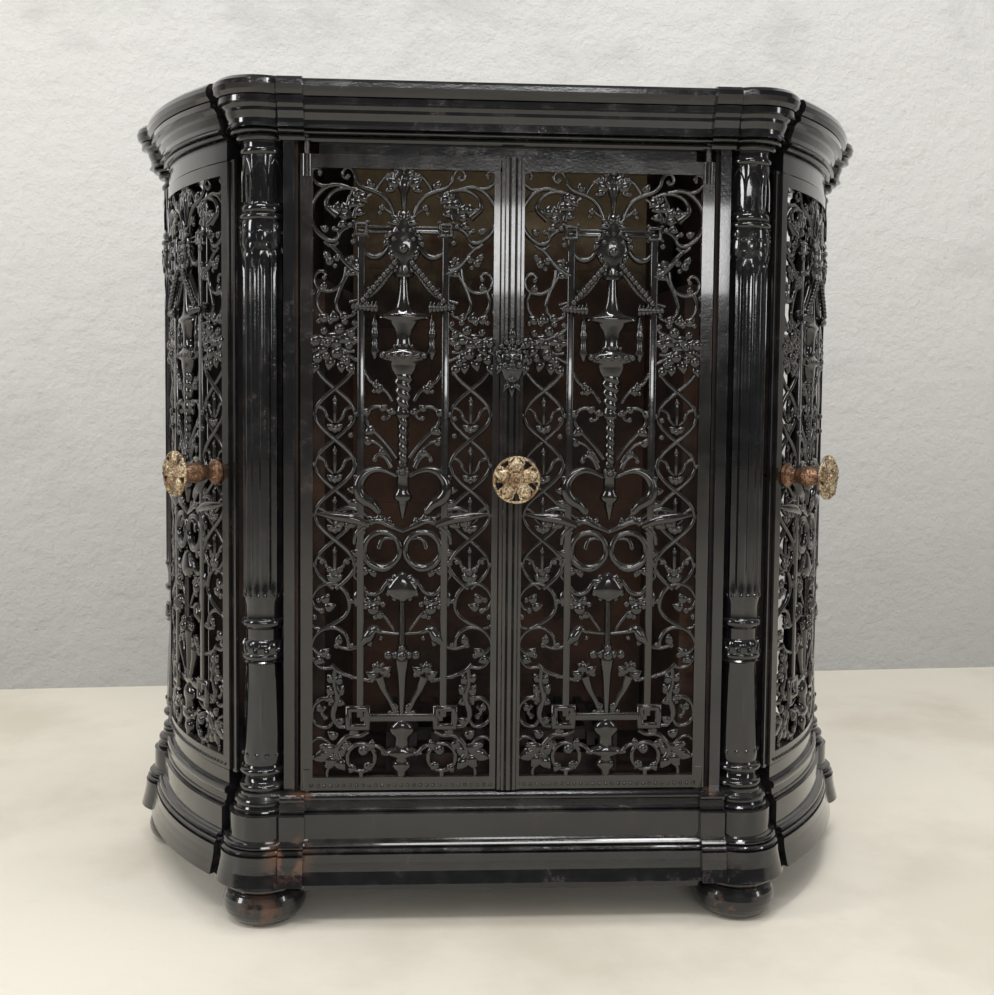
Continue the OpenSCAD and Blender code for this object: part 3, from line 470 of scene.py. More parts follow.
class Nodes:
    """A node tree, of a material or of the world."""

    def __init__(self, owner: bpy.types.Material | bpy.types.World) -> None:
        """Empties a tree.

        Args:
            owner: The material or world that the tree belongs to.
        """
        owner.use_nodes = True
        self.owner = owner
        self.tree = owner.node_tree
        self.tree.nodes.clear()

    def node(
        self,
        kind: str,
        settings: Mapping[str, object] | None = None,
        sockets: Mapping[str | int, object] | None = None,
    ) -> bpy.types.Node:
        """Adds a node, sets it and feeds its sockets.

        Args:
            kind: The node's type.
            settings: Its own settings, which are set first.
            sockets: Values, or links, by the name or number of the socket.

        Returns:
            The node.
        """
        node = self.tree.nodes.new(kind)
        for key, value in (settings or {}).items():
            setattr(node, key, value)
        for key, value in (sockets or {}).items():
            self.feed(node.inputs[key], value)
        return node

    def feed(self, socket: bpy.types.NodeSocket, value: object) -> None:
        """Links a socket, or sets its value.

        Args:
            socket: The socket.
            value: A value or a socket to link, or a number, vector or colour to set.
        """
        if isinstance(value, Value):
            value = value.socket
        if isinstance(value, bpy.types.NodeSocket):
            self.tree.links.new(value, socket)
        elif isinstance(value, (tuple, list)) and len(value) == 3 and len(socket.default_value) == 4:
            socket.default_value = (*value, 1.0)
        else:
            socket.default_value = value

    def maths(self, operation: str, a: object, b: object) -> Value:
        """Adds a Math node on two values."""
        return Value(self, self.node("ShaderNodeMath", {"operation": operation}, {0: a, 1: b}).outputs[0])


class Surface(Nodes):
    """The node tree of one material."""

    def __init__(self, name: str) -> None:
        """Starts an empty material.

        Args:
            name: The material's name.
        """
        super().__init__(bpy.data.materials.new(name))
        self.where = self.node("ShaderNodeTexCoord").outputs["Object"]
        self.facing = self.node("ShaderNodeNewGeometry").outputs["Normal"]

    def noise(
        self, scale: float, detail: float = 3.0, rough: float = 0.55, stretch: tuple = (1, 1, 1)
    ) -> Value:
        """Adds noise in the object's own metres.

        Args:
            scale: Cells per metre.
            detail: Octaves.
            rough: How strong the fine octaves are.
            stretch: Stretch of the pattern along x, y and z.

        Returns:
            Its value, about 0.2 to 0.8.
        """
        where = self.where
        if stretch != (1, 1, 1):
            where = self.node("ShaderNodeMapping", None, {"Vector": where, "Scale": stretch}).outputs[0]
        node = self.node(
            "ShaderNodeTexNoise", None, {"Vector": where, "Scale": scale, "Detail": detail, "Roughness": rough}
        )
        return Value(self, node.outputs["Fac"])

    def mix(self, share: object, a: object, b: object) -> bpy.types.NodeSocket:
        """Mixes two colours by a share."""
        node = self.node("ShaderNodeMix", {"data_type": "RGBA"}, {0: share, 6: a, 7: b})
        return node.outputs[2]

    def edges(self, radius: float) -> Value:
        """Finds the sharp edges.

        Args:
            radius: How far from an edge it is felt, in metres.

        Returns:
            How close the surface is to an edge, from 0 on a flat to about 1.
        """
        round_ = self.node("ShaderNodeBevel", {"samples": 4}, {"Radius": radius}).outputs[0]
        dot = self.node("ShaderNodeVectorMath", {"operation": "DOT_PRODUCT"}, {0: round_, 1: self.facing})
        return (1.0 - Value(self, dot.outputs["Value"])).step(0.01, 0.2)

    def upright(self, vector: bpy.types.NodeSocket) -> Value:
        """Takes the upright share of a vector."""
        return Value(self, self.node("ShaderNodeSeparateXYZ", None, {0: vector}).outputs["Z"])

    def near(self, at: Sequence[float], reach: float) -> Value:
        """Measures nearness to a point: 1 at the point, 0 beyond the reach, in metres."""
        gap = self.node("ShaderNodeVectorMath", {"operation": "DISTANCE"}, {0: self.where, 1: tuple(at)})
        return 1.0 - Value(self, gap.outputs["Value"]).step(0.0, reach)

    def bump(self, height: Value, strength: float, distance: float) -> bpy.types.NodeSocket:
        """Makes a normal from a height."""
        return self.node(
            "ShaderNodeBump", None, {"Strength": strength, "Distance": distance, "Height": height}
        ).outputs[0]

    def shader(self, **sockets: object) -> bpy.types.NodeSocket:
        """Adds a Principled shader, whose sockets are named with _ for a space."""
        named = {key.replace("_", " "): value for key, value in sockets.items()}
        return self.node("ShaderNodeBsdfPrincipled", None, named).outputs[0]

    def clear_from_rear(self, shader: bpy.types.NodeSocket) -> bpy.types.NodeSocket:
        """Makes a shader clear where the surface is seen from its rear.

        Args:
            shader: The shader of the surface's front.

        Returns:
            The shader for both sides.
        """
        rear = self.node("ShaderNodeNewGeometry").outputs["Backfacing"]
        clear = self.node("ShaderNodeBsdfTransparent").outputs[0]
        return self.node("ShaderNodeMixShader", None, {0: rear, 1: shader, 2: clear}).outputs[0]

    def closed(self, shader: bpy.types.NodeSocket) -> bpy.types.Material:
        """Links a shader to the material's output and returns the material."""
        self.node("ShaderNodeOutputMaterial", None, {"Surface": shader})
        return self.owner

    def finish(self, **sockets: object) -> bpy.types.Material:
        """Closes the tree with a Principled shader and returns the material."""
        return self.closed(self.shader(**sockets))


@dataclass(frozen=True)
class EnamelledIron:
    """Glossy enamel on cast iron: orange peel, worn arrises, dust on the ledges, a little rust."""

    name: str
    deep: tuple = (0.0045, 0.0046, 0.0050)
    worn: tuple = (0.055, 0.050, 0.046)
    dust: tuple = (0.20, 0.18, 0.155)
    rust: tuple = (0.16, 0.065, 0.028)
    gloss: float = 0.12
    dusty: float = 0.10
    rusty: float = 0.25
    grain: float = 0.30
    spots: tuple = ()

    def make(self) -> bpy.types.Material:
        """Builds the material.

        Returns:
            The finished material.
        """
        n = Surface(self.name)
        broad = n.noise(7.0, 4.0)
        cloud = n.noise(38.0, 5.0, 0.6)
        speck = n.noise(240.0, 3.0, 0.6)
        peel = n.noise(520.0, 2.0)
        edge = n.edges(0.0012)
        wear = (edge * cloud.step(0.42, 0.62) * (0.55 + 0.45 * speck)).step(0.05, 0.9)
        film = n.upright(n.facing).step(0.25, 0.95) * (0.35 + 0.65 * cloud.step(0.35, 0.7)) * self.dusty
        blot = (broad * cloud).step(0.30, 0.36) * speck.step(0.50, 0.62)
        rust = blot * self.rusty
        for place, reach in self.spots:
            rust = rust + n.near(place, reach) * cloud.step(0.40, 0.56) * 0.9
        rust = rust.step(0.0, 1.0)
        tone = n.mix(cloud.step(0.3, 0.75), self.deep, tuple(c * 1.9 for c in self.deep))
        tone = n.mix(wear * 0.75, tone, self.worn)
        tone = n.mix(film, tone, self.dust)
        tone = n.mix(rust, tone, n.mix(speck, self.rust, tuple(c * 0.35 for c in self.rust)))
        rough = self.gloss + 0.14 * cloud.step(0.45, 0.8) + 0.5 * film + 0.16 * wear + 0.5 * rust
        height = peel * 0.10 + speck * 0.25 * self.grain + cloud * 0.9 * self.grain + rust * 0.4
        return n.finish(
            Base_Color=tone,
            Roughness=rough,
            Metallic=0.0,
            Specular_IOR_Level=0.3,
            Coat_Weight=0.8,
            Coat_Roughness=0.05,
            Normal=n.bump(height, 0.5, 0.0012),
        )


@dataclass(frozen=True)
class SootedIron:
    """Bare iron inside the fire: matt, sooty, with brown rust clouds."""

    name: str
    soot: tuple = (0.016, 0.014, 0.013)
    brown: tuple = (0.085, 0.045, 0.028)
    share: float = 0.55

    def make(self) -> bpy.types.Material:
        """Builds the material.

        Returns:
            The finished material.
        """
        n = Surface(self.name)
        cloud = n.noise(14.0, 6.0, 0.6)
        speck = n.noise(160.0, 4.0, 0.65)
        streak = n.noise(22.0, 3.0, 0.5, (1, 1, 0.15))
        brown = (cloud * 0.6 + streak * 0.4).step(0.45, 0.62) * self.share
        tone = n.mix(brown, self.soot, self.brown)
        tone = n.mix(speck.step(0.55, 0.75) * 0.4, tone, tuple(c * 1.7 for c in self.brown))
        return n.finish(
            Base_Color=tone,
            Roughness=0.62 + 0.3 * speck,
            Metallic=0.0,
            Normal=n.bump(speck * 0.7 + cloud, 0.6, 0.0015),
        )


@dataclass(frozen=True)
class FiredClay:
    """Firebrick: cream where clean, brown with heat and soot lower down."""

    name: str
    cream: tuple = (0.52, 0.40, 0.25)
    burnt: tuple = (0.085, 0.042, 0.026)
    soot: tuple = (0.022, 0.017, 0.014)

    def make(self) -> bpy.types.Material:
        """Builds the material.

        Returns:
            The finished material.
        """
        n = Surface(self.name)
        cloud = n.noise(11.0, 6.0, 0.62)
        grit = n.noise(330.0, 4.0, 0.7)
        clean = (n.upright(n.where) + 0.25 * cloud).step(0.74, 0.84)
        sooty = cloud.step(0.35, 0.65)
        tone = n.mix(sooty, self.burnt, self.soot)
        tone = n.mix(clean, tone, n.mix(grit, self.cream, tuple(c * 0.55 for c in self.cream)))
        return n.finish(
            Base_Color=tone,
            Roughness=0.86 + 0.1 * grit,
            Metallic=0.0,
            Normal=n.bump(grit * 0.6 + cloud * 0.8, 0.7, 0.002),
        )


@dataclass(frozen=True)
class WornMetal:
    """Old metal with a dark patina in the hollows and bright rubbed points."""

    name: str
    bright: tuple = (0.74, 0.60, 0.40)
    dull: tuple = (0.26, 0.16, 0.085)
    patina: tuple = (0.035, 0.020, 0.012)
    metal: float = 0.85
    rough: float = 0.34

    def make(self) -> bpy.types.Material:
        """Builds the material.

        Returns:
            The finished material.
        """
        n = Surface(self.name)
        cloud = n.noise(95.0, 5.0, 0.6)
        grain = n.noise(620.0, 3.0, 0.65)
        edge = n.edges(0.0010)
        dark = grain.step(0.42, 0.56)
        tone = n.mix(cloud.step(0.35, 0.65), self.dull, self.bright)
        tone = n.mix((1.0 - dark) * 0.75, tone, self.patina)
        tone = n.mix(edge * 0.5, tone, self.bright)
        return n.finish(
            Base_Color=tone,
            Roughness=self.rough + 0.3 * (1.0 - dark) + 0.1 * cloud,
            Metallic=self.metal,
            Normal=n.bump(grain + cloud * 0.5, 0.55, 0.0009),
        )


@dataclass
class Finishes:
    """Every finish of the insert, by the record's material slot."""

    made: dict[str, bpy.types.Material] = field(default_factory=dict)

    def __post_init__(self) -> None:
        """Builds the materials."""
        foot_spot = ((-0.228, -0.145, 0.012), 0.045)
        base_spots = (
            ((-0.20, -0.135, 0.07), 0.035),
            ((-0.19, -0.12, 0.128), 0.02),
            ((0.19, -0.12, 0.128), 0.02),
        )
        recipes = {
            "black_enamel": EnamelledIron("black_enamel", spots=base_spots),
            "foot_iron": EnamelledIron("foot_iron", gloss=0.22, rusty=0.6, spots=(foot_spot,)),
            "door_iron": EnamelledIron(
                "door_iron", deep=(0.0075, 0.0066, 0.0060), worn=(0.055, 0.046, 0.040), gloss=0.14, dusty=0.15
            ),
            "sooted_iron": SootedIron("sooted_iron"),
            "firebrick": FiredClay("firebrick"),
            "plain_steel": WornMetal(
                "plain_steel", bright=(0.16, 0.155, 0.15), dull=(0.075, 0.07, 0.066), patina=(0.03, 0.024, 0.02)
            ),
            "aged_brass": WornMetal("aged_brass"),
            "copper_brown": WornMetal(
                "copper_brown", bright=(0.36, 0.21, 0.13), dull=(0.16, 0.085, 0.05), rough=0.30
            ),
        }
        for slot, recipe in recipes.items():
            self.made[slot] = recipe.make()

    def fit(self, piece: bpy.types.Object, slot: str, node: str, body: str) -> None:
        """Dresses a finished piece, and lets it stand for a CAD node.

        Args:
            piece: The piece, at its place.
            slot: The record's material slot that gives its finish.
            node: The CAD node that it stands for.
            body: The body that it moves with.
        """
        piece.data.materials.clear()
        piece.data.materials.append(self.made[slot])
        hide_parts(node)
        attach(piece, body)
        LOG.info("%s: %d faces", piece.name, len(piece.data.polygons))

    def dress_frame(self) -> None:
        """Gives each CAD node the finish that the record names for it."""
        for part in frame["record"]["subparts"]:
            node = frame["nodes"][part["node"]]
            for place in node.material_slots:
                place.material = self.made[part["material_slot"]]
            LOG.info("node %s: %s", part["node"], part["material_slot"])


# ---------------------------------------------------------------- pierced leaves


class Leaf(Enum):
    """The four leaves, each with its body, the side that it is on and whether it is bowed."""

    FRONT_LEFT = ("front_door_left", -1, False)
    FRONT_RIGHT = ("front_door_right", 1, False)
    SIDE_LEFT = ("side_door_left", -1, True)
    SIDE_RIGHT = ("side_door_right", 1, True)


@dataclass
class PiercedPattern:
    """The cast pattern of a leaf, drawn once for half a leaf and mirrored.

    Lines are in millimetres on the left front leaf: across from the middle of the stove, up from the floor.
    """

    seeds: Seeds
    middle: float = -97.0
    foot: float = 127.0
    chain_middle: float = -34.0
    chain_pitch: float = 47.0
    chain_cross: float = 364.0
    chain_half: float = 18.5
    weight: float = 1.32
    berry_behind: float = 3.0
    leaf_behind: float = 3.2
    leaf_shape: tuple = (0.62, 3.0, 0.504)
    relief_depth: float = 3.4
    relief_behind: float = 6.0
    bars: list[Bar] = field(default_factory=list)
    extras: list[bpy.types.Object] = field(default_factory=list)

    def bar(self, line: Sequence[Point], *widths: float, closed: bool = False, lift: float = -4.0) -> None:
        """Adds a bar.

        Args:
            line: Its points, in the pattern's own millimetres.
            widths: Its widths along the line, before the pattern's weight.
            closed: Whether it runs back to its start.
            lift: How far it stands out from the leaf's face, below 0 where it lies behind.
        """
        moved = [(x - self.middle, z - self.foot) for x, z in line]
        heavy = [self.weight * width for width in widths]
        self.bars.append(Bar(moved, heavy if len(heavy) > 1 else heavy * 2, closed, lift))

    def ring(self, x: float, z: float, radius: float, width: float) -> None:
        """Adds a round bar."""
        round_ = [polar(radius, turn) for turn in range(0, 360, 45)]
        self.bar([(x + across, z + up) for across, up in round_], width, closed=True)

    def ball(self, *places: tuple[float, float, float], flat: float = 0.75) -> None:
        """Adds berries.

        Args:
            places: The place and the radius of each.
            flat: Their thickness as a share of their width.
        """
        for x, z, radius in places:
            at = Vector((x - self.middle, self.berry_behind, z - self.foot))
            size = Vector((radius, radius * flat, radius))
            self.extras.append(self.seeds.place(self.seeds.berry(radius), at, size))

    def leaves(self, *places: tuple[float, float, float, float]) -> None:
        """Adds leaflets.

        Args:
            places: The place, the length and the turn in degrees of each.
        """
        long, thick, wide = self.leaf_shape
        for x, z, length, turn in places:
            at = Vector((x - self.middle, self.leaf_behind, z - self.foot))
            size = Vector((length * long, thick, length * wide))
            self.extras.append(self.seeds.place(Seed.LEAFLET, at, size, turn))

    def crest(self) -> None:
        """Draws the crest, the large C scrolls and the corner hooks."""
        self.bar([(-89, 660), (-86, 671), (-79, 682), (-70, 687), (-59, 691), (-53, 697)], 3.2, 4, 3)
        self.bar([(-53, 697), (-51, 704), (-46, 708), (-41, 704), (-42, 699), (-46, 698)], 3, 2.4)
        self.bar([(-61, 685), (-50, 689), (-37, 688), (-28, 681), (-26, 673), (-31, 668), (-36, 664)],
                 3, 3, 6.5)
        self.bar([(-46, 690), (-32, 692), (-19, 684), (-12, 669), (-14, 654), (-22, 645), (-31, 641),
                  (-37, 645), (-37, 650), (-32, 651)], 3.4, 4, 2.6)
        self.bar([(-33, 692), (-22, 691), (-14, 696), (-12, 702), (-16, 707), (-21, 704), (-19, 700)], 3.4, 2.6)
        self.bar([(-67, 684), (-58, 678), (-53, 670), (-51, 662)], 2.6, 4.6)
        self.bar([(-50, 688), (-46, 678), (-46, 668), (-49, 662)], 2.4, 4.6)
        self.bar([(-38, 663), (-44, 668), (-51, 663)], 3, 2.6)
        self.bar([(-86, 667), (-80, 671)], 2.4, 3)
        self.bar([(-51, 655), (-44, 653), (-38, 648)], 4, 3)
        self.bar([(-14, 655), (-11, 647), (-13, 639)], 3, 2.4)
        self.bar([(-97, 697), (-89, 703), (-80, 700), (-74, 693), (-71, 687)], 3.4, 2.6)
        self.ball((-46, 700, 2.3), (-77, 672, 3.8), (-75, 667, 2.4), (-30, 670, 3.6), (-20, 703, 2.4),
                  (-64, 646, 2.2), (-64, 659, 2.2), (-51, 646, 2.2), (-51, 659, 2.2), (-12, 643, 3),
                  (-83, 701, 3.2), (-90, 706, 3.2), (-97, 709, 3.6), (-33, 652, 2.6))
        self.leaves((-60, 680, 9, 230), (-56, 675, 9, 200), (-54, 685, 8, 100), (-49, 675, 9, 320),
                    (-43, 672, 9, 60), (-57, 667, 8, 190), (-42, 664, 8, 20), (-36, 672, 9, 100),
                    (-91, 701, 12, 70), (-86, 696, 11, 35), (-84, 689, 8, 330), (-66, 694, 8, 60),
                    (-40, 656, 8, 330), (-24, 652, 7, 30))

    def festoon(self) -> None:
        """Draws the swag, the rope with its tassel and the scrolls beside them."""
        self.bar([(-84, 642), (-80, 633), (-72, 627), (-64, 629), (-58, 637)], 3, 5, 3)
        self.bar([(-88, 617), (-79, 606), (-69, 594), (-61, 588)], 4.4, 3.6)
        for tip in ((-47, 585), (-49, 581), (-52, 578), (-56, 576), (-60, 575)):
            self.bar([(-62, 590), ((-62 + tip[0]) / 2 - 1, (590 + tip[1]) / 2), tip], 2, 2.8)
        self.bar([(-68, 594), (-64, 599)], 2.4, 3)
        for k in range(12):
            share = k / 11
            self.ball((-87 + 24 * share, 616 - 27 * share - 3 * math.sin(math.pi * share), 2.5))
        self.bar([(-30, 637), (-36, 631), (-42, 623), (-50, 616), (-58, 612)], 3, 5)
        self.bar([(-44, 617), (-42, 606), (-35, 597), (-25, 595), (-17, 599), (-15, 607), (-20, 613),
                  (-25, 611), (-24, 606)], 3.2, 2.8)
        self.bar([(-46, 611), (-41, 602), (-37, 592), (-35, 582), (-39, 575), (-47, 572), (-53, 575)],
                 3.4, 2.8)
        self.bar([(-20, 596), (-17, 586), (-21, 576), (-27, 570), (-33, 567)], 3.4, 2.8)
        self.bar([(-37, 640), (-31, 636), (-24, 640)], 3, 2.6)
        self.bar([(-58, 612), (-57, 604)], 4, 3)
        self.ball((-29, 622, 4.4), (-34, 618, 2.6), (-24, 607, 2.6), (-13, 593, 3.4), (-12, 577, 3.4),
                  (-52, 576, 2.8), (-63, 591, 3.2), (-58, 612, 3))
        self.leaves((-53, 619, 10, 250), (-48, 622, 9, 230), (-56, 614, 9, 170), (-50, 612, 8, 200),
                    (-26, 628, 7, 60), (-36, 626, 7, 120), (-43, 572, 8, 200), (-24, 600, 7, 100))

    def fruit(self) -> None:
        """Draws the bunch of fruit on each side."""
        self.ball((-49, 556, 4.4), (-38, 560, 5.6), (-24, 558, 4.2), (-43, 567, 3.8), (-36, 538, 6.4),
                  (-16, 549, 6), (-27, 547, 4.6), (-47, 545, 4.4), (-18, 533, 5.6), (-26, 535, 4.4),
                  (-45, 530, 4), (-30, 567, 3.4), (-52, 566, 3.2), (-19, 567, 3), flat=0.85)
        self.leaves((-44, 551, 11, 200), (-31, 553, 11, 20), (-22, 541, 10, 300), (-42, 534, 10, 230),
                    (-29, 528, 10, 280), (-35, 549, 10, 90), (-52, 550, 9, 170), (-12, 540, 9, 300),
                    (-22, 550, 9, 60), (-49, 523, 9, 240), (-40, 525, 9, 270), (-15, 524, 9, 280),
                    (-33, 572, 9, 80), (-23, 571, 9, 40))
        self.bar([(-57, 568), (-52, 561), (-44, 557), (-36, 553), (-26, 551), (-13, 553)], 3, 4, 3)
        self.bar([(-52, 540), (-43, 540), (-33, 545), (-22, 543), (-12, 538)], 3, 3.6, 3)
        self.bar([(-58, 530), (-51, 533), (-44, 537)], 3.4, 3)

    def chain(self) -> None:
        """Draws the interlaced chain with a dart and two leaves in each link."""
        for side in (-1, 1):
            line = []
            for k in range(30):
                z = 318.0 + 7.0 * k
                swing = math.sin(math.pi * (z - self.chain_cross) / self.chain_pitch)
                line.append((self.chain_middle + side * self.chain_half * swing, z))
            self.bar(line, 3.4, lift=-4.0 + 0.5 * side)
        for k in range(4):
            z = self.chain_cross + self.chain_pitch * (k - 0.5)
            x = self.chain_middle
            self.bar([(x, z + 17), (x, z + 10), (x, z), (x, z - 8)], 1.4, 3.6, 1.8)
            self.ball((x, z + 13, 2.4), (x, z - 15, 2.8), (x - 19.6, z, 2.6), (x + 19.6, z, 2.6))
            for side in (-1, 1):
                self.bar([(x + side * 16, z + 7), (x + side * 10, z + 4), (x + side * 7, z - 3),
                          (x + side * 2, z - 8)], 3.2, 2.2)
                self.ball((x + side * 7.5, z - 1.5, 2))
                self.leaves((x + side * 4, z - 12, 7, 90 - side * 50))

    def branches(self) -> None:
        """Draws the scrolls beside the torch."""
        self.bar([(-87, 494), (-81, 503), (-74, 508), (-66, 513), (-62, 519), (-56, 521)], 3, 3.4)
        self.bar([(-79, 505), (-74, 502), (-70, 505)], 2.6, 2)
        self.bar([(-91, 441), (-83, 452), (-74, 462), (-66, 470), (-63, 478), (-66, 486), (-74, 489),
                  (-82, 486), (-85, 481), (-81, 477)], 3, 3.4, 2.6)
        self.bar([(-86, 438), (-79, 449), (-70, 456), (-58, 456)], 2.6, 3.2)
        self.bar([(-86, 432), (-81, 441), (-74, 444), (-70, 438)], 4.6, 3)
        self.bar([(-66, 469), (-61, 464), (-57, 465)], 3, 2.6)
        self.ball((-79, 478, 2.8), (-60, 471, 2.4), (-61, 521, 2.6), (-70, 503, 2.2), (-71, 439, 2.6))
        self.leaves((-66, 466, 9, 320), (-62, 484, 8, 20), (-72, 510, 7, 100), (-64, 457, 8, 60),
                    (-79, 488, 7, 140), (-87, 484, 7, 200), (-75, 505, 8, 280), (-78, 447, 8, 80))

    def dolphins(self) -> None:
        """Draws the thick scrolls, wings and rings below the torch."""
        self.bar([(-91, 424), (-80, 429), (-70, 430), (-60, 424), (-56, 413), (-60, 403), (-68, 398),
                  (-74, 391)], 3, 4, 6, 8, 9.5, 10, 8.5, 6)
        self.bar([(-66, 385), (-58, 391), (-46, 394), (-36, 391)], 3, 4.5, 3)
        self.bar([(-66, 378), (-50, 384), (-36, 386), (-16, 389)], 6, 9, 8, 2)
        self.bar([(-62, 377), (-54, 370), (-52, 360)], 6, 3)
        self.bar([(-97, 372), (-84, 378), (-74, 382), (-65, 380)], 3, 6, 4)
        self.ring(-78, 355, 16.5, 5)
        self.bar([(-90, 342), (-80, 337), (-68, 341), (-60, 350)], 4, 7, 4)
        self.bar([(-89, 365), (-82, 366), (-77, 363), (-75, 357)], 2.6, 4)
        self.bar([(-61, 373), (-56, 362), (-57, 350), (-62, 341)], 5, 3.4)
        self.bar([(-62, 342), (-56, 337), (-52, 331), (-57, 325)], 3, 2.6)
        self.ball((-74, 392, 4), (-59, 427, 2.8), (-80, 383, 3), (-72, 384, 3), (-88, 377, 2.8),
                  (-75, 357, 2.4))
        self.leaves((-84, 381, 9, 110), (-76, 385, 9, 90), (-68, 383, 9, 50), (-54, 352, 9, 20),
                    (-54, 343, 8, 340), (-52, 399, 9, 20), (-50, 411, 8, 10), (-55, 422, 8, 40),
                    (-48, 379, 10, 330), (-38, 380, 9, 340), (-70, 333, 8, 250), (-62, 334, 8, 300))

    def stems(self) -> None:
        """Draws the palmette, the flowers and the leaves of the lower middle."""
        self.bar([(-90, 330), (-82, 323), (-76, 315), (-67, 313), (-61, 319), (-58, 327)], 3.2, 4, 3)
        self.bar([(-97, 258), (-97, 280), (-97, 306)], 5.4, 4.6, lift=-3.0)
        self.bar([(-90, 278), (-83, 288), (-77, 296)], 2.4, 2.8)
        self.bar([(-94, 275), (-84, 276), (-77, 277)], 2.6, 3)
        self.bar([(-78, 276), (-71, 279), (-65, 272), (-58, 264)], 3, 8, 10, 4)
        self.bar([(-90, 202), (-86, 212), (-80, 223), (-76, 234)], 3.4, 5, 8)
        self.bar([(-80, 247), (-75, 243), (-70, 240)], 2.8, 2.4)
        self.bar([(-70, 230), (-60, 232), (-48, 235), (-38, 239), (-31, 246)], 3, 3.6)
        self.bar([(-94, 200), (-84, 199)], 4, 3)
        self.ball((-70, 299, 6.4), (-79, 303, 3.2), (-72, 291, 3), (-77, 271, 2.6), (-84, 255, 4.6),
                  (-91, 255, 4), (-86, 200, 2.6), (-91, 202, 3), (-84, 236, 2.8), (-71, 245, 2.6),
                  (-66, 231, 2.6), (-50, 234, 2.4))
        self.leaves((-57, 308, 13, 300), (-63, 302, 9, 200), (-82, 240, 10, 140), (-74, 243, 10, 90),
                    (-69, 236, 10, 30), (-66, 268, 9, 250), (-60, 272, 9, 60), (-76, 294, 8, 60),
                    (-66, 306, 9, 60), (-74, 307, 8, 110), (-90, 206, 7, 60))
        for turn in (90, 62, 34):
            across, up = polar(13.0, turn)
            self.leaves((-97 + across * 0.8, 318 + up * 0.6, 13, turn))
        self.ball((-97, 307, 3.4), (-90, 309, 3.2), (-84, 313, 2.6))

    def side_scrolls(self) -> None:
        """Draws the round scrolls at the side below the chain."""
        self.bar([(-47, 260), (-46, 271), (-39, 279), (-28, 281), (-17, 275), (-12, 263), (-14, 251),
                  (-22, 243), (-32, 243)], 3.2, 3.6, 3)
        self.bar([(-25, 281), (-37, 287), (-46, 296), (-47, 308), (-40, 319), (-29, 323), (-18, 318),
                  (-12, 308)], 3.2, 3.6, 3)
        self.bar([(-57, 263), (-46, 261), (-36, 264)], 3.2, 2.8)
        self.bar([(-57, 307), (-47, 304)], 3, 2.8)
        self.bar([(-12, 308), (-16, 300), (-22, 297)], 3, 3.4)
        self.bar([(-12, 263), (-20, 256), (-28, 254)], 3, 4)
        self.bar([(-34, 241), (-34, 229), (-37, 217), (-34, 205), (-33, 196), (-38, 187)], 3.4, 6, 3.6)
        self.bar([(-33, 211), (-25, 214), (-17, 210), (-13, 202), (-14, 193), (-21, 187), (-29, 187),
                  (-32, 192)], 4, 3)
        self.bar([(-26, 206), (-22, 200), (-27, 195)], 2.8, 3.4)
        self.bar([(-38, 187), (-48, 186)], 4, 3)
        self.bar([(-12, 288), (-14, 282), (-20, 280)], 3, 2.6)
        self.ball((-50, 264, 2.8), (-36, 264, 3.2), (-19, 307, 3), (-22, 297, 3.4), (-15, 291, 3.2),
                  (-49, 306, 2.8), (-29, 336, 3.4), (-39, 336, 3.4), (-34, 334, 4), (-30, 209, 2.4),
                  (-25, 195, 2.2), (-28, 254, 3.2), (-46, 343, 2.6), (-22, 343, 2.6), (-12, 330, 3))
        self.leaves((-34, 328, 11, 270), (-25, 258, 9, 140), (-20, 250, 9, 200), (-38, 270, 8, 100),
                    (-30, 301, 9, 160), (-26, 309, 9, 120), (-30, 222, 9, 60), (-40, 222, 9, 120),
                    (-39, 210, 9, 200), (-29, 214, 8, 330), (-38, 232, 9, 110), (-30, 233, 8, 60),
                    (-40, 192, 8, 160), (-20, 205, 7, 90))

    def foot_scrolls(self) -> None:
        """Draws the scrolls and leaves along the foot."""
        self.ring(-59, 157, 13, 3.6)
        self.bar([(-82, 160), (-77, 166), (-70, 168), (-65, 164)], 3.6, 3)
        self.bar([(-66, 182), (-58, 178), (-48, 178), (-40, 172), (-36, 163), (-39, 156)], 3.6, 4.6)
        self.bar([(-59, 144), (-59, 136)], 4, 4.6)
        self.bar([(-97, 160), (-86, 160), (-78, 161)], 4, 3)
        self.bar([(-35, 158), (-27, 163), (-20, 168)], 3, 2.4)
        self.bar([(-35, 158), (-24, 155), (-13, 157)], 3, 2.4)
        self.bar([(-35, 158), (-30, 150), (-27, 143), (-28, 136)], 3.4, 3)
        self.bar([(-12, 172), (-18, 176), (-26, 174), (-31, 168)], 3, 2.4)
        self.ball((-61, 164, 5.4), (-22, 168, 2.8), (-27, 149, 2.6), (-14, 157, 2.4), (-36, 159, 3.6))
        self.leaves((-28, 166, 12, 40), (-41, 164, 10, 130), (-30, 152, 12, 290), (-20, 158, 12, 340),
                    (-40, 150, 11, 230), (-24, 161, 11, 10), (-45, 170, 9, 60), (-69, 170, 8, 100),
                    (-66, 148, 8, 230), (-50, 146, 8, 300), (-52, 183, 9, 80), (-32, 179, 9, 40))

    def ladder(self) -> list[bpy.types.Object]:
        """Models the slender bars, the cross bars and the square bosses on their crossings.

        Returns:
            The bars and bosses in leaf axes.
        """
        made = [block(Vector((0, 4.0, height)), Vector((78, 6, tall)), 0.8)
                for height, tall in ((527.4, 2.2), (522.6, 2.2), (68.5, 7))]
        made.append(block(Vector((0, 5.6, 525)), Vector((78, 3, 6)), 0.4))
        for side in (-1, 1):
            made.append(block(Vector((side * 39, 3.9, 296.75)), Vector((7, 6.6, 456.5)), 1.5))
            made.append(square_ring(Vector((side * 39, 2.6, 525)), 14, 7, 6))
            made.append(square_ring(Vector((side * 41, 2.4, 68.5)), 24, 11, 6.4))
        return made

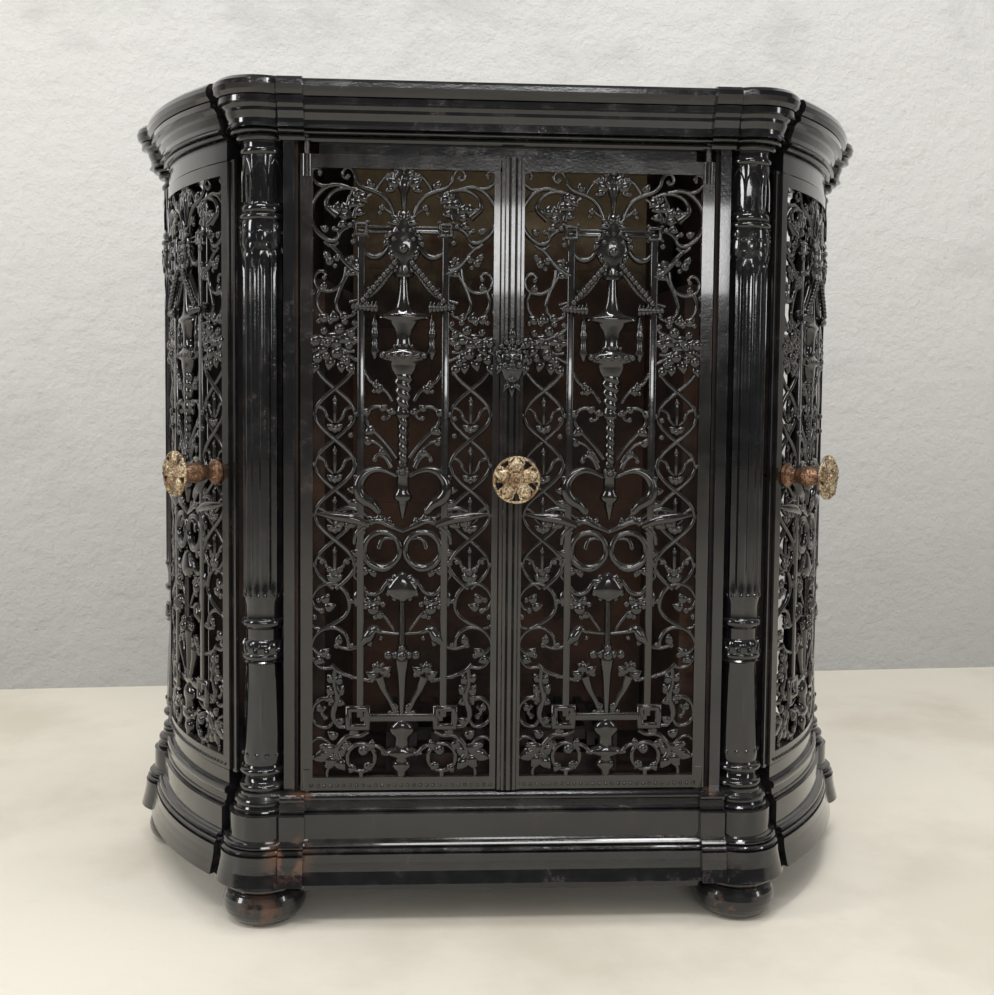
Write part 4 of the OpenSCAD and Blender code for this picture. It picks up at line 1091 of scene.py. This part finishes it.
    def raised(self, p: Vector) -> Vector:
        """Turns a full round piece into a relief: flat behind, less deep the wider it is.

        Args:
            p: A point of the round piece.

        Returns:
            Its place on the relief.
        """
        radius = math.hypot(p.x, p.y) / MM
        if radius <= 0.01:
            return Vector((p.x, self.relief_behind * MM, p.z))
        deep = self.relief_depth * radius**0.3 * MM
        share = p.y / (radius * MM)
        return Vector((p.x, self.relief_behind * MM + share * deep * (1.0 if share < 0 else 0.25), p.z))

    def motif(
        self,
        outline: Sequence[Point],
        across: float = 0.0,
        steps: int = 24,
        cut: Callable[[Vector], Vector] | None = None,
    ) -> bpy.types.Object:
        """Turns an outline and flattens it to a relief.

        Args:
            outline: Half width, and height in the pattern's own millimetres.
            across: Distance of its axis from the middle of the leaf.
            steps: Steps of the spin.
            cut: A move that carves the round piece before it is flattened.

        Returns:
            The relief in leaf axes.
        """
        closed = [(0.0, outline[0][1]), *outline, (0.0, outline[-1][1])]
        piece = turned([(r, z - self.foot) for r, z in closed], steps, "motif")
        if cut:
            reshaped(piece, cut)
        reshaped(piece, self.raised)
        piece.data.transform(Matrix.Translation((across * MM, 0, 0)))
        return piece

    def reliefs(self) -> list[bpy.types.Object]:
        """Models the mask hood, the bell vase and what is turned below them on the middle line.

        Returns:
            The reliefs in leaf axes.
        """
        return [
            self.motif([(1.5, 667), (2.5, 676), (3.4, 685), (6, 691), (6.8, 695), (5, 698)]),
            self.motif([(8, 609), (10, 612), (9, 617), (8.5, 621), (12, 625), (15.5, 631), (16.5, 637),
                        (16, 643), (13.5, 650), (10.5, 655), (10.5, 659), (8, 665), (3, 669)], steps=32),
            self.motif([(5, 612), (5, 604), (5.5, 596), (6.5, 588), (8.5, 581), (12, 577), (20, 575),
                        (24.5, 573.5), (24.8, 571), (15, 569), (13, 566), (9, 560), (7.5, 553), (8, 548),
                        (10.5, 543), (13, 541), (22, 539.5), (23.5, 536), (22, 532.5), (14, 531),
                        (13, 527), (12, 523), (9.5, 519)][::-1], steps=32),
            self.motif([(1, 384), (2, 387), (3.4, 392), (5, 398), (4.5, 400), (7.5, 401), (9, 403.5),
                        (9, 406.5), (7.5, 409), (6.2, 411), (6, 423), (7, 424), (7.6, 428), (6.5, 432)]),
            self.motif([(3.4, 199), (3, 203), (3.6, 215), (5, 235), (6.5, 246), (7.2, 250), (6, 252), (7, 256),
                        (6.8, 259), (5, 261), (5.4, 264), (3, 266)]),
            self.motif([(9.5, 165), (7, 168), (7, 174), (8, 177), (12, 180), (12.6, 184), (10.5, 188), (6, 192),
                        (2, 194)], steps=32),
            self.motif([(5, 138), (6, 144), (9, 146), (9.6, 149), (8.5, 152), (6, 154), (8, 157), (15, 159),
                        (17, 161), (16, 163), (10, 166)], steps=32),
            self.motif([(7, 307), (13, 310), (16.5, 314), (16, 319), (11, 326), (6, 331), (2, 334)], steps=32),
        ]
    def torch(self) -> bpy.types.Object:
        """Models the twisted torch, two slender lengths with a collar between them.

        Returns:
            The relief in leaf axes.
        """
        outline = []
        for step in range(73):
            z = 433 + 87 * step / 72
            base = 4.7 + 0.5 * (z - 433) / 48 if z < 481 else 6.0 + 3.4 * (z - 484) / 36
            outline.append((7.4 if 480 <= z <= 485 else base, z))
        return self.motif(outline, steps=32, cut=self.twist)

    def finials(self) -> list[bpy.types.Object]:
        """Models the two finials beside the vase."""
        outline = [(1.4, 533), (3, 536), (5.4, 540), (3.4, 545), (4.2, 548), (3, 551), (4.6, 555), (4.6, 558),
                   (3, 562), (4, 565), (2.6, 569), (1.2, 574)]
        return [self.motif(outline, 26.5 * side, 12) for side in (-1, 1)]

    def twist(self, p: Vector) -> Vector:
        """Cuts the spiral grooves of the torch, and leaves its ends and its collar plain.

        Args:
            p: A point of the round torch.

        Returns:
            Its place with the grooves cut.
        """
        height = p.z / MM + self.foot
        if 479 < height < 486 or height < 434.5 or height > 518.5:
            return p
        turn = math.atan2(p.y, p.x)
        groove = 1.0 + 0.13 * math.sin(2 * turn + height * 0.75)
        return Vector((p.x * groove, p.y * groove, p.z))

    def middle_seeds(self) -> list[bpy.types.Object]:
        """Places the beads and petals of the middle line, and the ropes, wings and rail beads beside it.

        Returns:
            The copies in leaf axes.
        """
        made: list[bpy.types.Object] = []

        def bead_at(u: float, z: float, radius: float, out: float) -> None:
            """Places one bead, as far out as given from the leaf's face."""
            at = Vector((u, -out, z - self.foot))
            made.append(self.seeds.place(self.seeds.berry(radius), at, Vector((radius,) * 3)))

        def leaf_at(u: float, z: float, out: float, size: tuple, turn: float) -> None:
            """Places one leaflet in the same way."""
            made.append(self.seeds.place(Seed.LEAFLET, Vector((u, -out, z - self.foot)), Vector(size), turn))

        for u in (0, -7, 7, -13.5, 13.5, -19.5, 19.5):
            bead_at(u, 536, 3.2, 1.2 - abs(u) * 0.09)
        bead_at(0, 634, 5.2, 1.2)
        for u in (-8, -3, 3, 8):
            bead_at(u, 615, 2.8, 0.2)
            bead_at(u, 545, 1.8, 0.4)
        for u in (-9, 0, 9):
            bead_at(u, 643, 2.6, 1.2)
            bead_at(u * 0.7, 651, 2.2, 1.0)
        for turn in (0, 35, 70, 110, 145, 180):
            leaf_at(polar(9, turn)[0], 658 + polar(7, turn)[1], -0.6, (5.4, 2.4, 3.0), turn)
        for side in (-1, 1):
            for u, z, turn in ((14, 647, -40), (16, 640, -60), (11, 628, -100)):
                leaf_at(side * u, z, -0.5, (5, 2.2, 2.8), 90 + side * (turn - 90))
        for side in (-1, 1):
            for k in range(10):
                bead_at(side * (8 + 3.2 * k), 621 - 3.8 * k, 3.2, 3.4)
            for k in range(7):
                leaf_at(side * (25 + 3.5 * k), 581, 2.8, (5.4 - 0.4 * k, 3.2, 2.1), 90)
            for u, z in ((49, 655), (46, 640), (47, 625), (48, 478), (48, 462)):
                bead_at(side * u, z, 3.0, 0.4)
        for k in range(-14, 15):
            bead_at(k * 6.0, 131.5, 1.7, 0.2)
        bead_at(0, 255, 5.6, 0.4)
        bead_at(0, 262, 4.2, 0.0)
        bead_at(0, 428, 3.6, 1.0)
        for u in (-4, 4):
            bead_at(u, 428, 2.4, 0.6)
        bead_at(0, 708, 3.4, -3)
        for turn in (60, 90, 120):
            leaf_at(polar(11, turn)[0], 699, -2.4, (6.5, 2.4, 3.2), turn)
        return made

    def build(self) -> bpy.types.Object:
        """Models the whole pattern of a leaf.

        Returns:
            The pattern, with its origin in the middle of the leaf's foot.
        """
        for draw in (self.crest, self.festoon, self.fruit, self.chain, self.branches, self.dolphins,
                     self.stems, self.side_scrolls, self.foot_scrolls):
            draw()
        bars = scrollwork(self.bars, 1.15, "bars")
        half = mirrored(joined([bars, *self.extras], "half_pattern"))
        middle = [*self.reliefs(), self.torch(), *self.finials(), *self.middle_seeds()]
        return smoothed(joined([half, *self.ladder(), *middle], "pattern"), 60.0)


@dataclass
class PiercedLeaves:
    """Hangs a copy of the pattern in each of the four leaves."""

    finishes: Finishes
    face_y: float = -113.189
    front_middle: float = 97.25
    foot: float = 127.0
    bow_y: float = 168.85
    bow_radius: float = 370.0
    side_turn: float = 59.7711
    side_foot: float = 140.5
    side_across: float = 1.0406
    side_up: float = 574.0 / 592.0

    def front(self, side: int) -> Callable[[Vector], Vector]:
        """Gives the move that takes the pattern to a front leaf."""
        middle = Vector((side * self.front_middle, self.face_y, self.foot)) * MM
        return lambda p: p + middle

    def bowed(self, side: int) -> Callable[[Vector], Vector]:
        """Gives the move that lays the pattern on a bowed side leaf.

        Args:
            side: -1 for the left leaf and 1 for the right one.

        Returns:
            The move, from the pattern's place to the leaf's.
        """

        def move(p: Vector) -> Vector:
            """Wraps one point round the bow.

            Args:
                p: A point of the pattern.

            Returns:
                Its place on the bowed leaf.
            """
            radius = self.bow_radius * MM - p.y
            turn = math.radians(side * self.side_turn) + p.x * self.side_across / (self.bow_radius * MM)
            return Vector((
                radius * math.sin(turn),
                self.bow_y * MM - radius * math.cos(turn),
                self.side_foot * MM + p.z * self.side_up,
            ))

        return move

    def build(self, pattern: bpy.types.Object) -> None:
        """Copies the pattern to the four leaves and dresses it.

        Args:
            pattern: The finished pattern, which is removed at the end.
        """
        for leaf in Leaf:
            body, side, is_bowed = leaf.value
            piece = copied(pattern, body + "_casting")
            reshaped(piece, self.bowed(side) if is_bowed else self.front(side))
            self.finishes.fit(piece, "door_iron", body + "_grille", body)
        bpy.data.objects.remove(pattern)


# ---------------------------------------------------------------- columns


@dataclass
class Columns:
    """The four turned columns: stepped base, tapered pedestal, fluted shaft, collar and facetted drum."""

    seeds: Seeds
    finishes: Finishes
    places: tuple = (
        ("column_front_left", -228.0, -94.189),
        ("column_front_right", 228.0, -94.189),
        ("column_rear_left", -348.085, 101.189),
        ("column_rear_right", 348.085, 101.189),
    )
    flutes: int = 16
    flute_low: float = 312.0
    flute_high: float = 628.0
    facets: int = 8
    drum_low: float = 675.0
    drum_high: float = 717.0
    drum: float = 19.4
    pedestal_low: float = 158.0
    pedestal_high: float = 244.0
    shaft: float = 19.5
    steps: int = 96

    def outline(self) -> list[Point]:
        """Draws the column's outline.

        Returns:
            Radius and height from the floor, in millimetres.
        """
        return [
            (0, 122), (23.4, 122), (23.6, 125), *bead(20.9, 126, 133, 2.8), (19, 135), (18, 139),
            *bead(20.2, 141, 148, 3.2), (19.4, 150), (20.4, 153), (20.6, 157), (20.4, 172), (19.4, 195),
            (18.2, 220), (17.2, 240), (17, 246), (20, 248), *bead(18.6, 250, 257, 2.4), (18.6, 258),
            (19.4, 262), (18.4, 267), (16.5, 269), (16.5, 279), *bead(18, 281, 289, 2.6), (17.6, 291),
            (17.8, 300), (18.4, 304), (19.3, 308), *[(self.shaft, 310 + 8 * k) for k in range(41)],
            (19.3, 632), (20.6, 636), (20.6, 657), *bead(19.9, 659, 665, 2.4), *bead(19, 666, 673, 1.8),
            (18.8, 675), (18.8, 690), (19.6, 716), *bead(19, 718, 725, 2.4), (18.6, 728), (18.6, 730), (0, 730),
        ]

    @staticmethod
    def stopped(z: float, low: float, high: float, run: float) -> float:
        """Gives the share of a flute's full depth at a height, less over a run at each of its ends."""
        return min(1.0, (z - low) / run, (high - z) / run)

    def carve(self, p: Vector) -> Vector:
        """Cuts the flutes, the facets of the drum and the stopped flutes of the pedestal.

        Args:
            p: A point of the turned column.

        Returns:
            Its place once it is carved.
        """
        z = p.z / MM
        turn = math.atan2(p.y, p.x)
        depth = 0.0
        if self.flute_low < z < self.flute_high:
            wave = abs(math.sin(turn * self.flutes / 2))
            depth = 2.0 * wave**0.8 * self.stopped(z, self.flute_low, self.flute_high, 8)
        elif self.drum_low < z < self.drum_high:
            side = math.tau / self.facets
            off = (turn + side / 2) % side - side / 2
            depth = self.drum * (1 - math.cos(side / 2) / math.cos(off)) * 0.9
        elif self.pedestal_low < z < self.pedestal_high:
            wave = abs(math.sin(turn * self.facets / 2))
            depth = 1.5 * wave**0.7 * self.stopped(z, self.pedestal_low, self.pedestal_high, 6)
        share = 1.0 - depth * MM / max(math.hypot(p.x, p.y), SAME_PLACE)
        return Vector((p.x * share, p.y * share, p.z))

    def around(self, seed: Seed, count: int, radius: float, z: float, size: Point, lean: float,
               start: float = 0.0, turn: float = 90.0) -> list[bpy.types.Object]:
        """Copies a small shape round the column.

        Args:
            seed: The shape.
            count: How many.
            radius: Distance of its middle from the axis, in millimetres.
            z: Its height.
            size: Half length up and half width.
            lean: Half thickness.
            start: Turn of the first one, in degrees.
            turn: Turn of the shape, 90 for a tip that points up and -90 for down.

        Returns:
            The copies.
        """
        made = []
        for k in range(count):
            piece = self.seeds.place(seed, Vector((0, 0, 0)), Vector((size[0], lean, size[1])), turn)
            angle = math.radians(start + 360 / count * k)
            piece.data.transform(
                Matrix.Rotation(angle, 4, "Z") @ Matrix.Translation((0, -radius * MM, z * MM))
            )
            made.append(piece)
        return made

    def ornaments(self) -> list[bpy.types.Object]:
        """Models the leaf collars, the drops and the buttons.

        Returns:
            The small shapes, round the column's axis.
        """
        return [
            *self.around(Seed.LEAFLET, 12, 18.6, 260, (7.5, 4.4), 2.6),
            *self.around(Seed.LEAFLET, 12, 19.0, 256, (6, 3.4), 2.4, 15.0),
            *self.around(Seed.BUTTON, 24, 20.2, 662, (1.9, 1.9), 1.7),
            *self.around(Seed.LEAFLET, 8, 20.4, 642, (8, 3.6), 1.9, 0.0, -90.0),
            *self.around(Seed.BUTTON, 8, 20.9, 653, (3, 3), 1.8),
            *self.around(Seed.BUTTON, 8, 20.7, 648, (2.2, 3.2), 1.6, 22.5),
            *self.around(Seed.LEAFLET, 8, 20.0, 634, (5, 2.6), 1.6, 22.5, -90.0),
            *self.around(Seed.BUTTON, 16, 19.0, 311, (2.6, 2.4), 1.6, 11.25),
            *self.around(Seed.BUTTON, 12, 20.2, 160, (2.8, 2.8), 1.5, 15.0),
            *self.around(Seed.BUTTON, 8, 19.8, 285, (2.6, 2.6), 1.6),
        ]

    def arches(self) -> bpy.types.Object:
        """Models the pointed arches on the drum, as fine ribs.

        Returns:
            The ribs of all its faces.
        """
        bars = [
            Bar([(-6.6, 676), (-6.2, 700), (-3.6, 709), (0, 715)], (1.5, 1.5)),
            Bar([(6.6, 676), (6.2, 700), (3.6, 709), (0, 715)], (1.5, 1.5)),
            Bar([(0, 680), (0, 700)], (0.8, 1.6)),
        ]
        flat = scrollwork(bars, 0.9, "arch")
        flat.data.transform(Matrix.Translation((0, -18.4 * MM, 0)))
        turns = [Matrix.Rotation(math.tau / self.facets * k, 4, "Z") for k in range(1, self.facets)]
        return joined([flat, *(copied(flat, "arch", turn) for turn in turns)], "arches")

    def build(self) -> None:
        """Models one column and copies it to its four places."""
        body = reshaped(turned(self.outline(), self.steps, "column"), self.carve)
        model = smoothed(joined([body, self.arches(), *self.ornaments()], "column"), 35.0)
        for node, x, y in self.places:
            piece = copied(model, node + "_turned", Matrix.Translation((x * MM, y * MM, 0)))
            self.finishes.fit(piece, "black_enamel", node, "body")
        bpy.data.objects.remove(model)


# ---------------------------------------------------------------- knobs and mask


@dataclass
class Knobs:
    """The pierced brass rosettes: five leafy lobes round a boss, inside a wire rim."""

    seeds: Seeds
    finishes: Finishes
    lobes: int = 5
    out: float = 43.2
    places: tuple = (
        ("knob_front", 6.3, -117.189, 0.0),
        ("knob_left", -275.501, -78.131, -48.1244),
        ("knob_right", 275.501, -78.131, 48.1244),
    )
    height: float = 425.0

    def wires(self) -> bpy.types.Object:
        """Models the rim, the ring round the boss and the two ribs of each lobe.

        Returns:
            The wires, in the plane x, z.
        """
        bars = [
            Bar([polar(20.2, turn) for turn in range(0, 360, 30)], (2.6, 2.6), True),
            Bar([polar(8.4, turn) for turn in range(0, 360, 30)], (3.0, 3.0), True, 1.6),
        ]
        for k in range(self.lobes):
            at = math.radians(90 + 360 / self.lobes * k)
            for side in (-1, 1):
                rib = [
                    (reach * math.cos(at + side * off), reach * math.sin(at + side * off))
                    for reach, off in ((8, 0.25), (13, 0.42), (18, 0.36), (20.4, 0.12))
                ]
                bars.append(Bar(rib, (2.4, 2.0), False, 0.8))
        return scrollwork(bars, 1.1, "wires")

    def boss(self) -> bpy.types.Object:
        """Models the dome in the middle.

        Returns:
            The dome, which faces the front.
        """
        dome = turned([(0, -3.2), (7, -3), (9, -1.6), (8.6, 0.8), (6.2, 2.6), (3.0, 3.4), (0, 3.6)], 24, "dome")
        dome.data.transform(Matrix.Rotation(math.radians(90), 4, "X"))
        return dome

    def petals(self) -> list[bpy.types.Object]:
        """Models the leaflets and grains of each lobe, and the grains on the boss.

        Returns:
            The small shapes, round the spindle's axis.
        """
        made: list[bpy.types.Object] = []

        def put(seed: Seed, reach: float, turn: float, out: float, size: tuple, lean: float = 0.0) -> None:
            """Places one shape at a distance and a turn round the spindle."""
            across, up = polar(reach, turn)
            made.append(self.seeds.place(seed, Vector((across, -out, up)), Vector(size), lean))

        for k in range(self.lobes):
            at = 90 + 360 / self.lobes * k
            for reach, length, out in ((12.6, 6.6, 1.8), (16.6, 4.8, 1.2)):
                put(Seed.LEAFLET, reach, at, out, (length, 3.0, length * 0.92), at)
            for off, reach in ((-16, 15), (16, 15), (-9, 11), (9, 11), (-20, 18.4), (20, 18.4), (0, 19.6)):
                put(Seed.BUTTON, reach, at + off, 1.4, (1.7, 1.7, 1.7))
            put(Seed.BUTTON, 5.6, at + 36, 2.6, (2.0, 1.6, 2.0))
        put(Seed.BALL, 0, 0, 3.2, (3.2, 2.4, 3.2))
        return made

    def build(self) -> None:
        """Models one rosette and copies it to the three spindles."""
        model = smoothed(joined([self.wires(), self.boss(), *self.petals()], "rosette"), 50.0)
        for node, x, y, turn in self.places:
            place = (
                Matrix.Translation((x * MM, y * MM, self.height * MM))
                @ Matrix.Rotation(math.radians(turn), 4, "Z")
                @ Matrix.Translation((0, -self.out * MM, 0))
            )
            self.finishes.fit(copied(model, node + "_rosette", place), "aged_brass", node, node)
        bpy.data.objects.remove(model)


@dataclass
class StripMask:
    """The small grotesque mask on the meeting strip, with curls over it and a leaf below."""

    seeds: Seeds
    finishes: Finishes
    across: float = 3.5
    face_y: float = -117.189
    height: float = 532.0

    def build(self) -> None:
        """Models the mask from a shield, curls, brows, eyes, nose and mouth."""
        made = []

        def put(seed: Seed, u: float, z: float, out: float, size: tuple, turn: float = 0.0) -> None:
            """Places one shape, on both sides where it is off the middle."""
            for side in ((1,) if u == 0 else (-1, 1)):
                made.append(self.seeds.place(
                    seed, Vector((side * u, -out, z)), Vector(size), turn if side > 0 else 180 - turn))

        shield = turned([(0, -21), (4, -20), (8, -16), (10.6, -9), (11.4, 0), (11.2, 8), (9.4, 14), (5, 19),
                         (0, 20)], 28, "shield")
        reshaped(shield, lambda p: Vector((p.x, p.y * 0.52 - 0.0006, p.z)))
        made.append(shield)
        curls = ((18, 0, 3.4), (17, 5.4, 3.2), (13.6, 9.8, 3.0), (8.6, 11.6, 2.4), (13, 2.7, 2.4))
        for z, spread, size in curls:
            put(Seed.BUTTON, spread, z, 4.2, (size, size, size))
        put(Seed.LEAFLET, 0, 10.5, 5.4, (5.4, 2.2, 3.4), 90)
        put(Seed.LEAFLET, 5.2, 9.0, 5.2, (5.0, 2.2, 2.4), 50)
        put(Seed.LEAFLET, 4.6, 5.4, 6.4, (4.2, 1.6, 1.3), 14)
        put(Seed.BUTTON, 4.2, 2.4, 5.6, (2.3, 1.8, 1.7))
        put(Seed.LEAFLET, 0, -0.6, 6.8, (4.6, 2.6, 2.0), 90)
        put(Seed.BUTTON, 1.9, -3.6, 6.4, (1.7, 1.6, 1.4))
        put(Seed.BUTTON, 6.6, -4.0, 5.0, (3.3, 2.8, 3.3))
        put(Seed.LEAFLET, 3.2, -7.6, 6.0, (3.6, 1.7, 1.4), -16)
        put(Seed.BUTTON, 0, -12.6, 5.0, (3.6, 2.0, 1.4))
        put(Seed.BUTTON, 0, -17, 4.4, (4.6, 3.0, 3.2))
        put(Seed.LEAFLET, 12.2, 4, 2.0, (6.0, 2.2, 3.0), 64)
        put(Seed.LEAFLET, 11.6, -7, 2.0, (6.0, 2.2, 3.0), -64)
        put(Seed.LEAFLET, 5.0, -23, 2.0, (5.6, 2.0, 2.6), -58)
        put(Seed.LEAFLET, 0, -26, 2.0, (7.4, 2.2, 3.0), -90)
        put(Seed.LEAFLET, 0, 26, 2.0, (6.4, 2.2, 3.0), 90)
        piece = smoothed(joined(made, "strip_mask_casting"), 60.0)
        piece.data.transform(Matrix.Translation((self.across * MM, self.face_y * MM, self.height * MM)))
        self.finishes.fit(piece, "black_enamel", "strip_mask", "front_door_right")


# ---------------------------------------------------------------- stage


@dataclass(frozen=True)
class Lamp:
    """A soft rectangular lamp that is aimed at the insert."""

    name: str
    place: tuple
    size: Point
    power: float


@dataclass(frozen=True)
class Stage:
    """The pale floor and wall, the room's light, the soft lamps and the camera, in metres."""

    floor: tuple = (0.74, 0.69, 0.59)
    stain: tuple = (0.58, 0.52, 0.42)
    plaster: tuple = (0.60, 0.59, 0.565)
    # the dark colour of the painted shade low on the wall, also used for the darker trowel marks
    painted_shade_and_trowel_tone: tuple = (0.36, 0.355, 0.335)
    floor_radius: float = 7.0
    wall_middle: tuple = (0.0, 0.80, 1.6)
    wall_size: Point = (12.0, 3.4)
    wall_turn: float = 0.075
    room: tuple = (0.95, 0.97, 1.0)
    room_light: float = 0.62
    room_mirrored: float = 0.09
    lamps: tuple = (
        Lamp("ceiling_tubes", (-0.35, -1.7, 2.7), (1.7, 0.16), 34.0),
        Lamp("ceiling_near", (0.5, -0.5, 2.9), (1.5, 0.22), 22.0),
        Lamp("window_left", (-2.3, -1.0, 1.35), (0.45, 1.2), 24.0),
        Lamp("window_right", (2.5, -1.3, 1.2), (0.3, 1.1), 10.0),
        Lamp("low_fill", (0.3, -3.0, 1.0), (1.2, 0.3), 14.0),
    )
    lamps_aim: tuple = (0.0, 0.0, 0.4)
    eye: tuple = (-0.0506, -1.1687, 0.5027)
    yaw: float = 0.055
    pitch: float = -0.055
    roll: float = 0.0101
    focus: float = 1131.75
    middle: Point = (18.16, -42.16)
    frame_px: float = 995.0
    sensor_mm: float = 36.0

    def build(self) -> None:
        """Builds the whole stage."""
        self.lay_floor()
        self.raise_wall()
        self.light_room()
        self.hang_lamps()
        self.set_camera()

    def lay_floor(self) -> None:
        """Lays a pale screed floor with faint stains."""
        choose()
        bpy.ops.mesh.primitive_circle_add(vertices=64, radius=self.floor_radius, fill_type="NGON")
        floor = added("floor")
        n = Surface("floor_screed")
        cloud = n.noise(3.1, 6.0, 0.6)
        patch = n.noise(1.3, 3.0)
        grit = n.noise(60.0, 4.0, 0.6)
        tone = n.mix(cloud.step(0.46, 0.66) * 0.55 + patch.step(0.5, 0.7) * 0.3, self.floor, self.stain)
        tone = n.mix(grit.step(0.62, 0.8) * 0.3, tone, self.stain)
        floor.data.materials.append(
            n.finish(Base_Color=tone, Roughness=0.42 + 0.3 * cloud, Normal=n.bump(grit + cloud, 0.12, 0.003))
        )

    def raise_wall(self) -> None:
        """Raises a trowelled plaster wall behind the insert, with painted light making it lighter towards the
        top and painted shade darker towards the floor, clear from its rear so that the back shows.
        """
        choose()
        bpy.ops.mesh.primitive_plane_add(size=1.0)
        wall = added("wall")
        wall.data.transform(
            Matrix.Translation(self.wall_middle)
            @ Matrix.Rotation(self.wall_turn, 4, "Z")
            @ Matrix.Rotation(math.radians(90), 4, "X")
            @ Matrix.Diagonal((*self.wall_size, 1.0, 1.0))
        )
        n = Surface("wall_plaster")
        trowel = n.noise(4.5, 7.0, 0.62, (1.0, 1.0, 1.6))
        grain = n.noise(46.0, 6.0, 0.68)
        # painted light and shade: the plaster is painted lighter towards the top and darker towards the floor,
        # as if lit from above
        lit = (n.upright(n.where) + 0.16 * trowel).step(-0.15, 1.15)
        tone = n.mix(lit, self.painted_shade_and_trowel_tone, self.plaster)
        # darker trowel marks, the plaster's own uneven tone, in the same dark colour
        tone = n.mix(trowel.step(0.5, 0.72) * 0.35, tone, self.painted_shade_and_trowel_tone)
        plaster = n.shader(Base_Color=tone, Roughness=0.85, Normal=n.bump(grain * 0.7 + trowel, 0.8, 0.012))
        wall.data.materials.append(n.closed(n.clear_from_rear(plaster)))

    def light_room(self) -> None:
        """Lights the room, which the enamel and the brass mirror more dimly than it shines."""
        world = bpy.data.worlds.new("studio")
        bpy.context.scene.world = world
        n = Nodes(world)
        in_mirror = Value(n, n.node("ShaderNodeLightPath").outputs["Is Glossy Ray"])
        strength = in_mirror * (self.room_mirrored - self.room_light) + self.room_light
        room = n.node("ShaderNodeBackground", None, {"Color": self.room, "Strength": strength})
        n.node("ShaderNodeOutputWorld", None, {"Surface": room.outputs[0]})

    def hang_lamps(self) -> None:
        """Hangs the soft lamps that the enamel mirrors."""
        for lamp in self.lamps:
            choose()
            bpy.ops.object.light_add(type="AREA", location=lamp.place)
            light = bpy.context.object
            light.name = lamp.name
            light.data.shape = "RECTANGLE"
            light.data.size, light.data.size_y = lamp.size
            light.data.energy = lamp.power
            ahead = Vector(self.lamps_aim) - Vector(lamp.place)
            light.rotation_euler = ahead.to_track_quat("-Z", "Y").to_euler()

    def set_camera(self) -> None:
        """Sets the camera where the photograph was taken from."""
        ahead = Vector((
            math.sin(self.yaw) * math.cos(self.pitch),
            math.cos(self.yaw) * math.cos(self.pitch),
            math.sin(self.pitch),
        ))
        right = Vector((math.cos(self.yaw), -math.sin(self.yaw), 0.0))
        up = right.cross(ahead)
        turned_right = right * math.cos(self.roll) + up * math.sin(self.roll)
        turned_up = up * math.cos(self.roll) - right * math.sin(self.roll)
        camera = bpy.data.objects.new("camera", bpy.data.cameras.new("camera"))
        bpy.context.scene.collection.objects.link(camera)
        place = Matrix((turned_right, turned_up, -ahead)).transposed().to_4x4()
        place.translation = Vector(self.eye)
        camera.matrix_world = place
        camera.data.sensor_width = self.sensor_mm
        camera.data.lens = self.focus * self.sensor_mm / self.frame_px
        camera.data.shift_x = -self.middle[0] / self.frame_px
        camera.data.shift_y = self.middle[1] / self.frame_px
        bpy.context.scene.camera = camera
        bpy.context.scene.view_settings.view_transform = "Standard"


def main() -> None:
    """Builds the insert and its stage, in order."""
    logging.basicConfig(level=logging.INFO, format="%(message)s")
    finishes = Finishes()
    finishes.dress_frame()
    seeds = Seeds()
    pattern = PiercedPattern(seeds).build()
    PiercedLeaves(finishes).build(pattern)
    Columns(seeds, finishes).build()
    Knobs(seeds, finishes).build()
    StripMask(seeds, finishes).build()
    seeds.put_away()
    Stage().build()


if __name__ == "__main__":
    main()
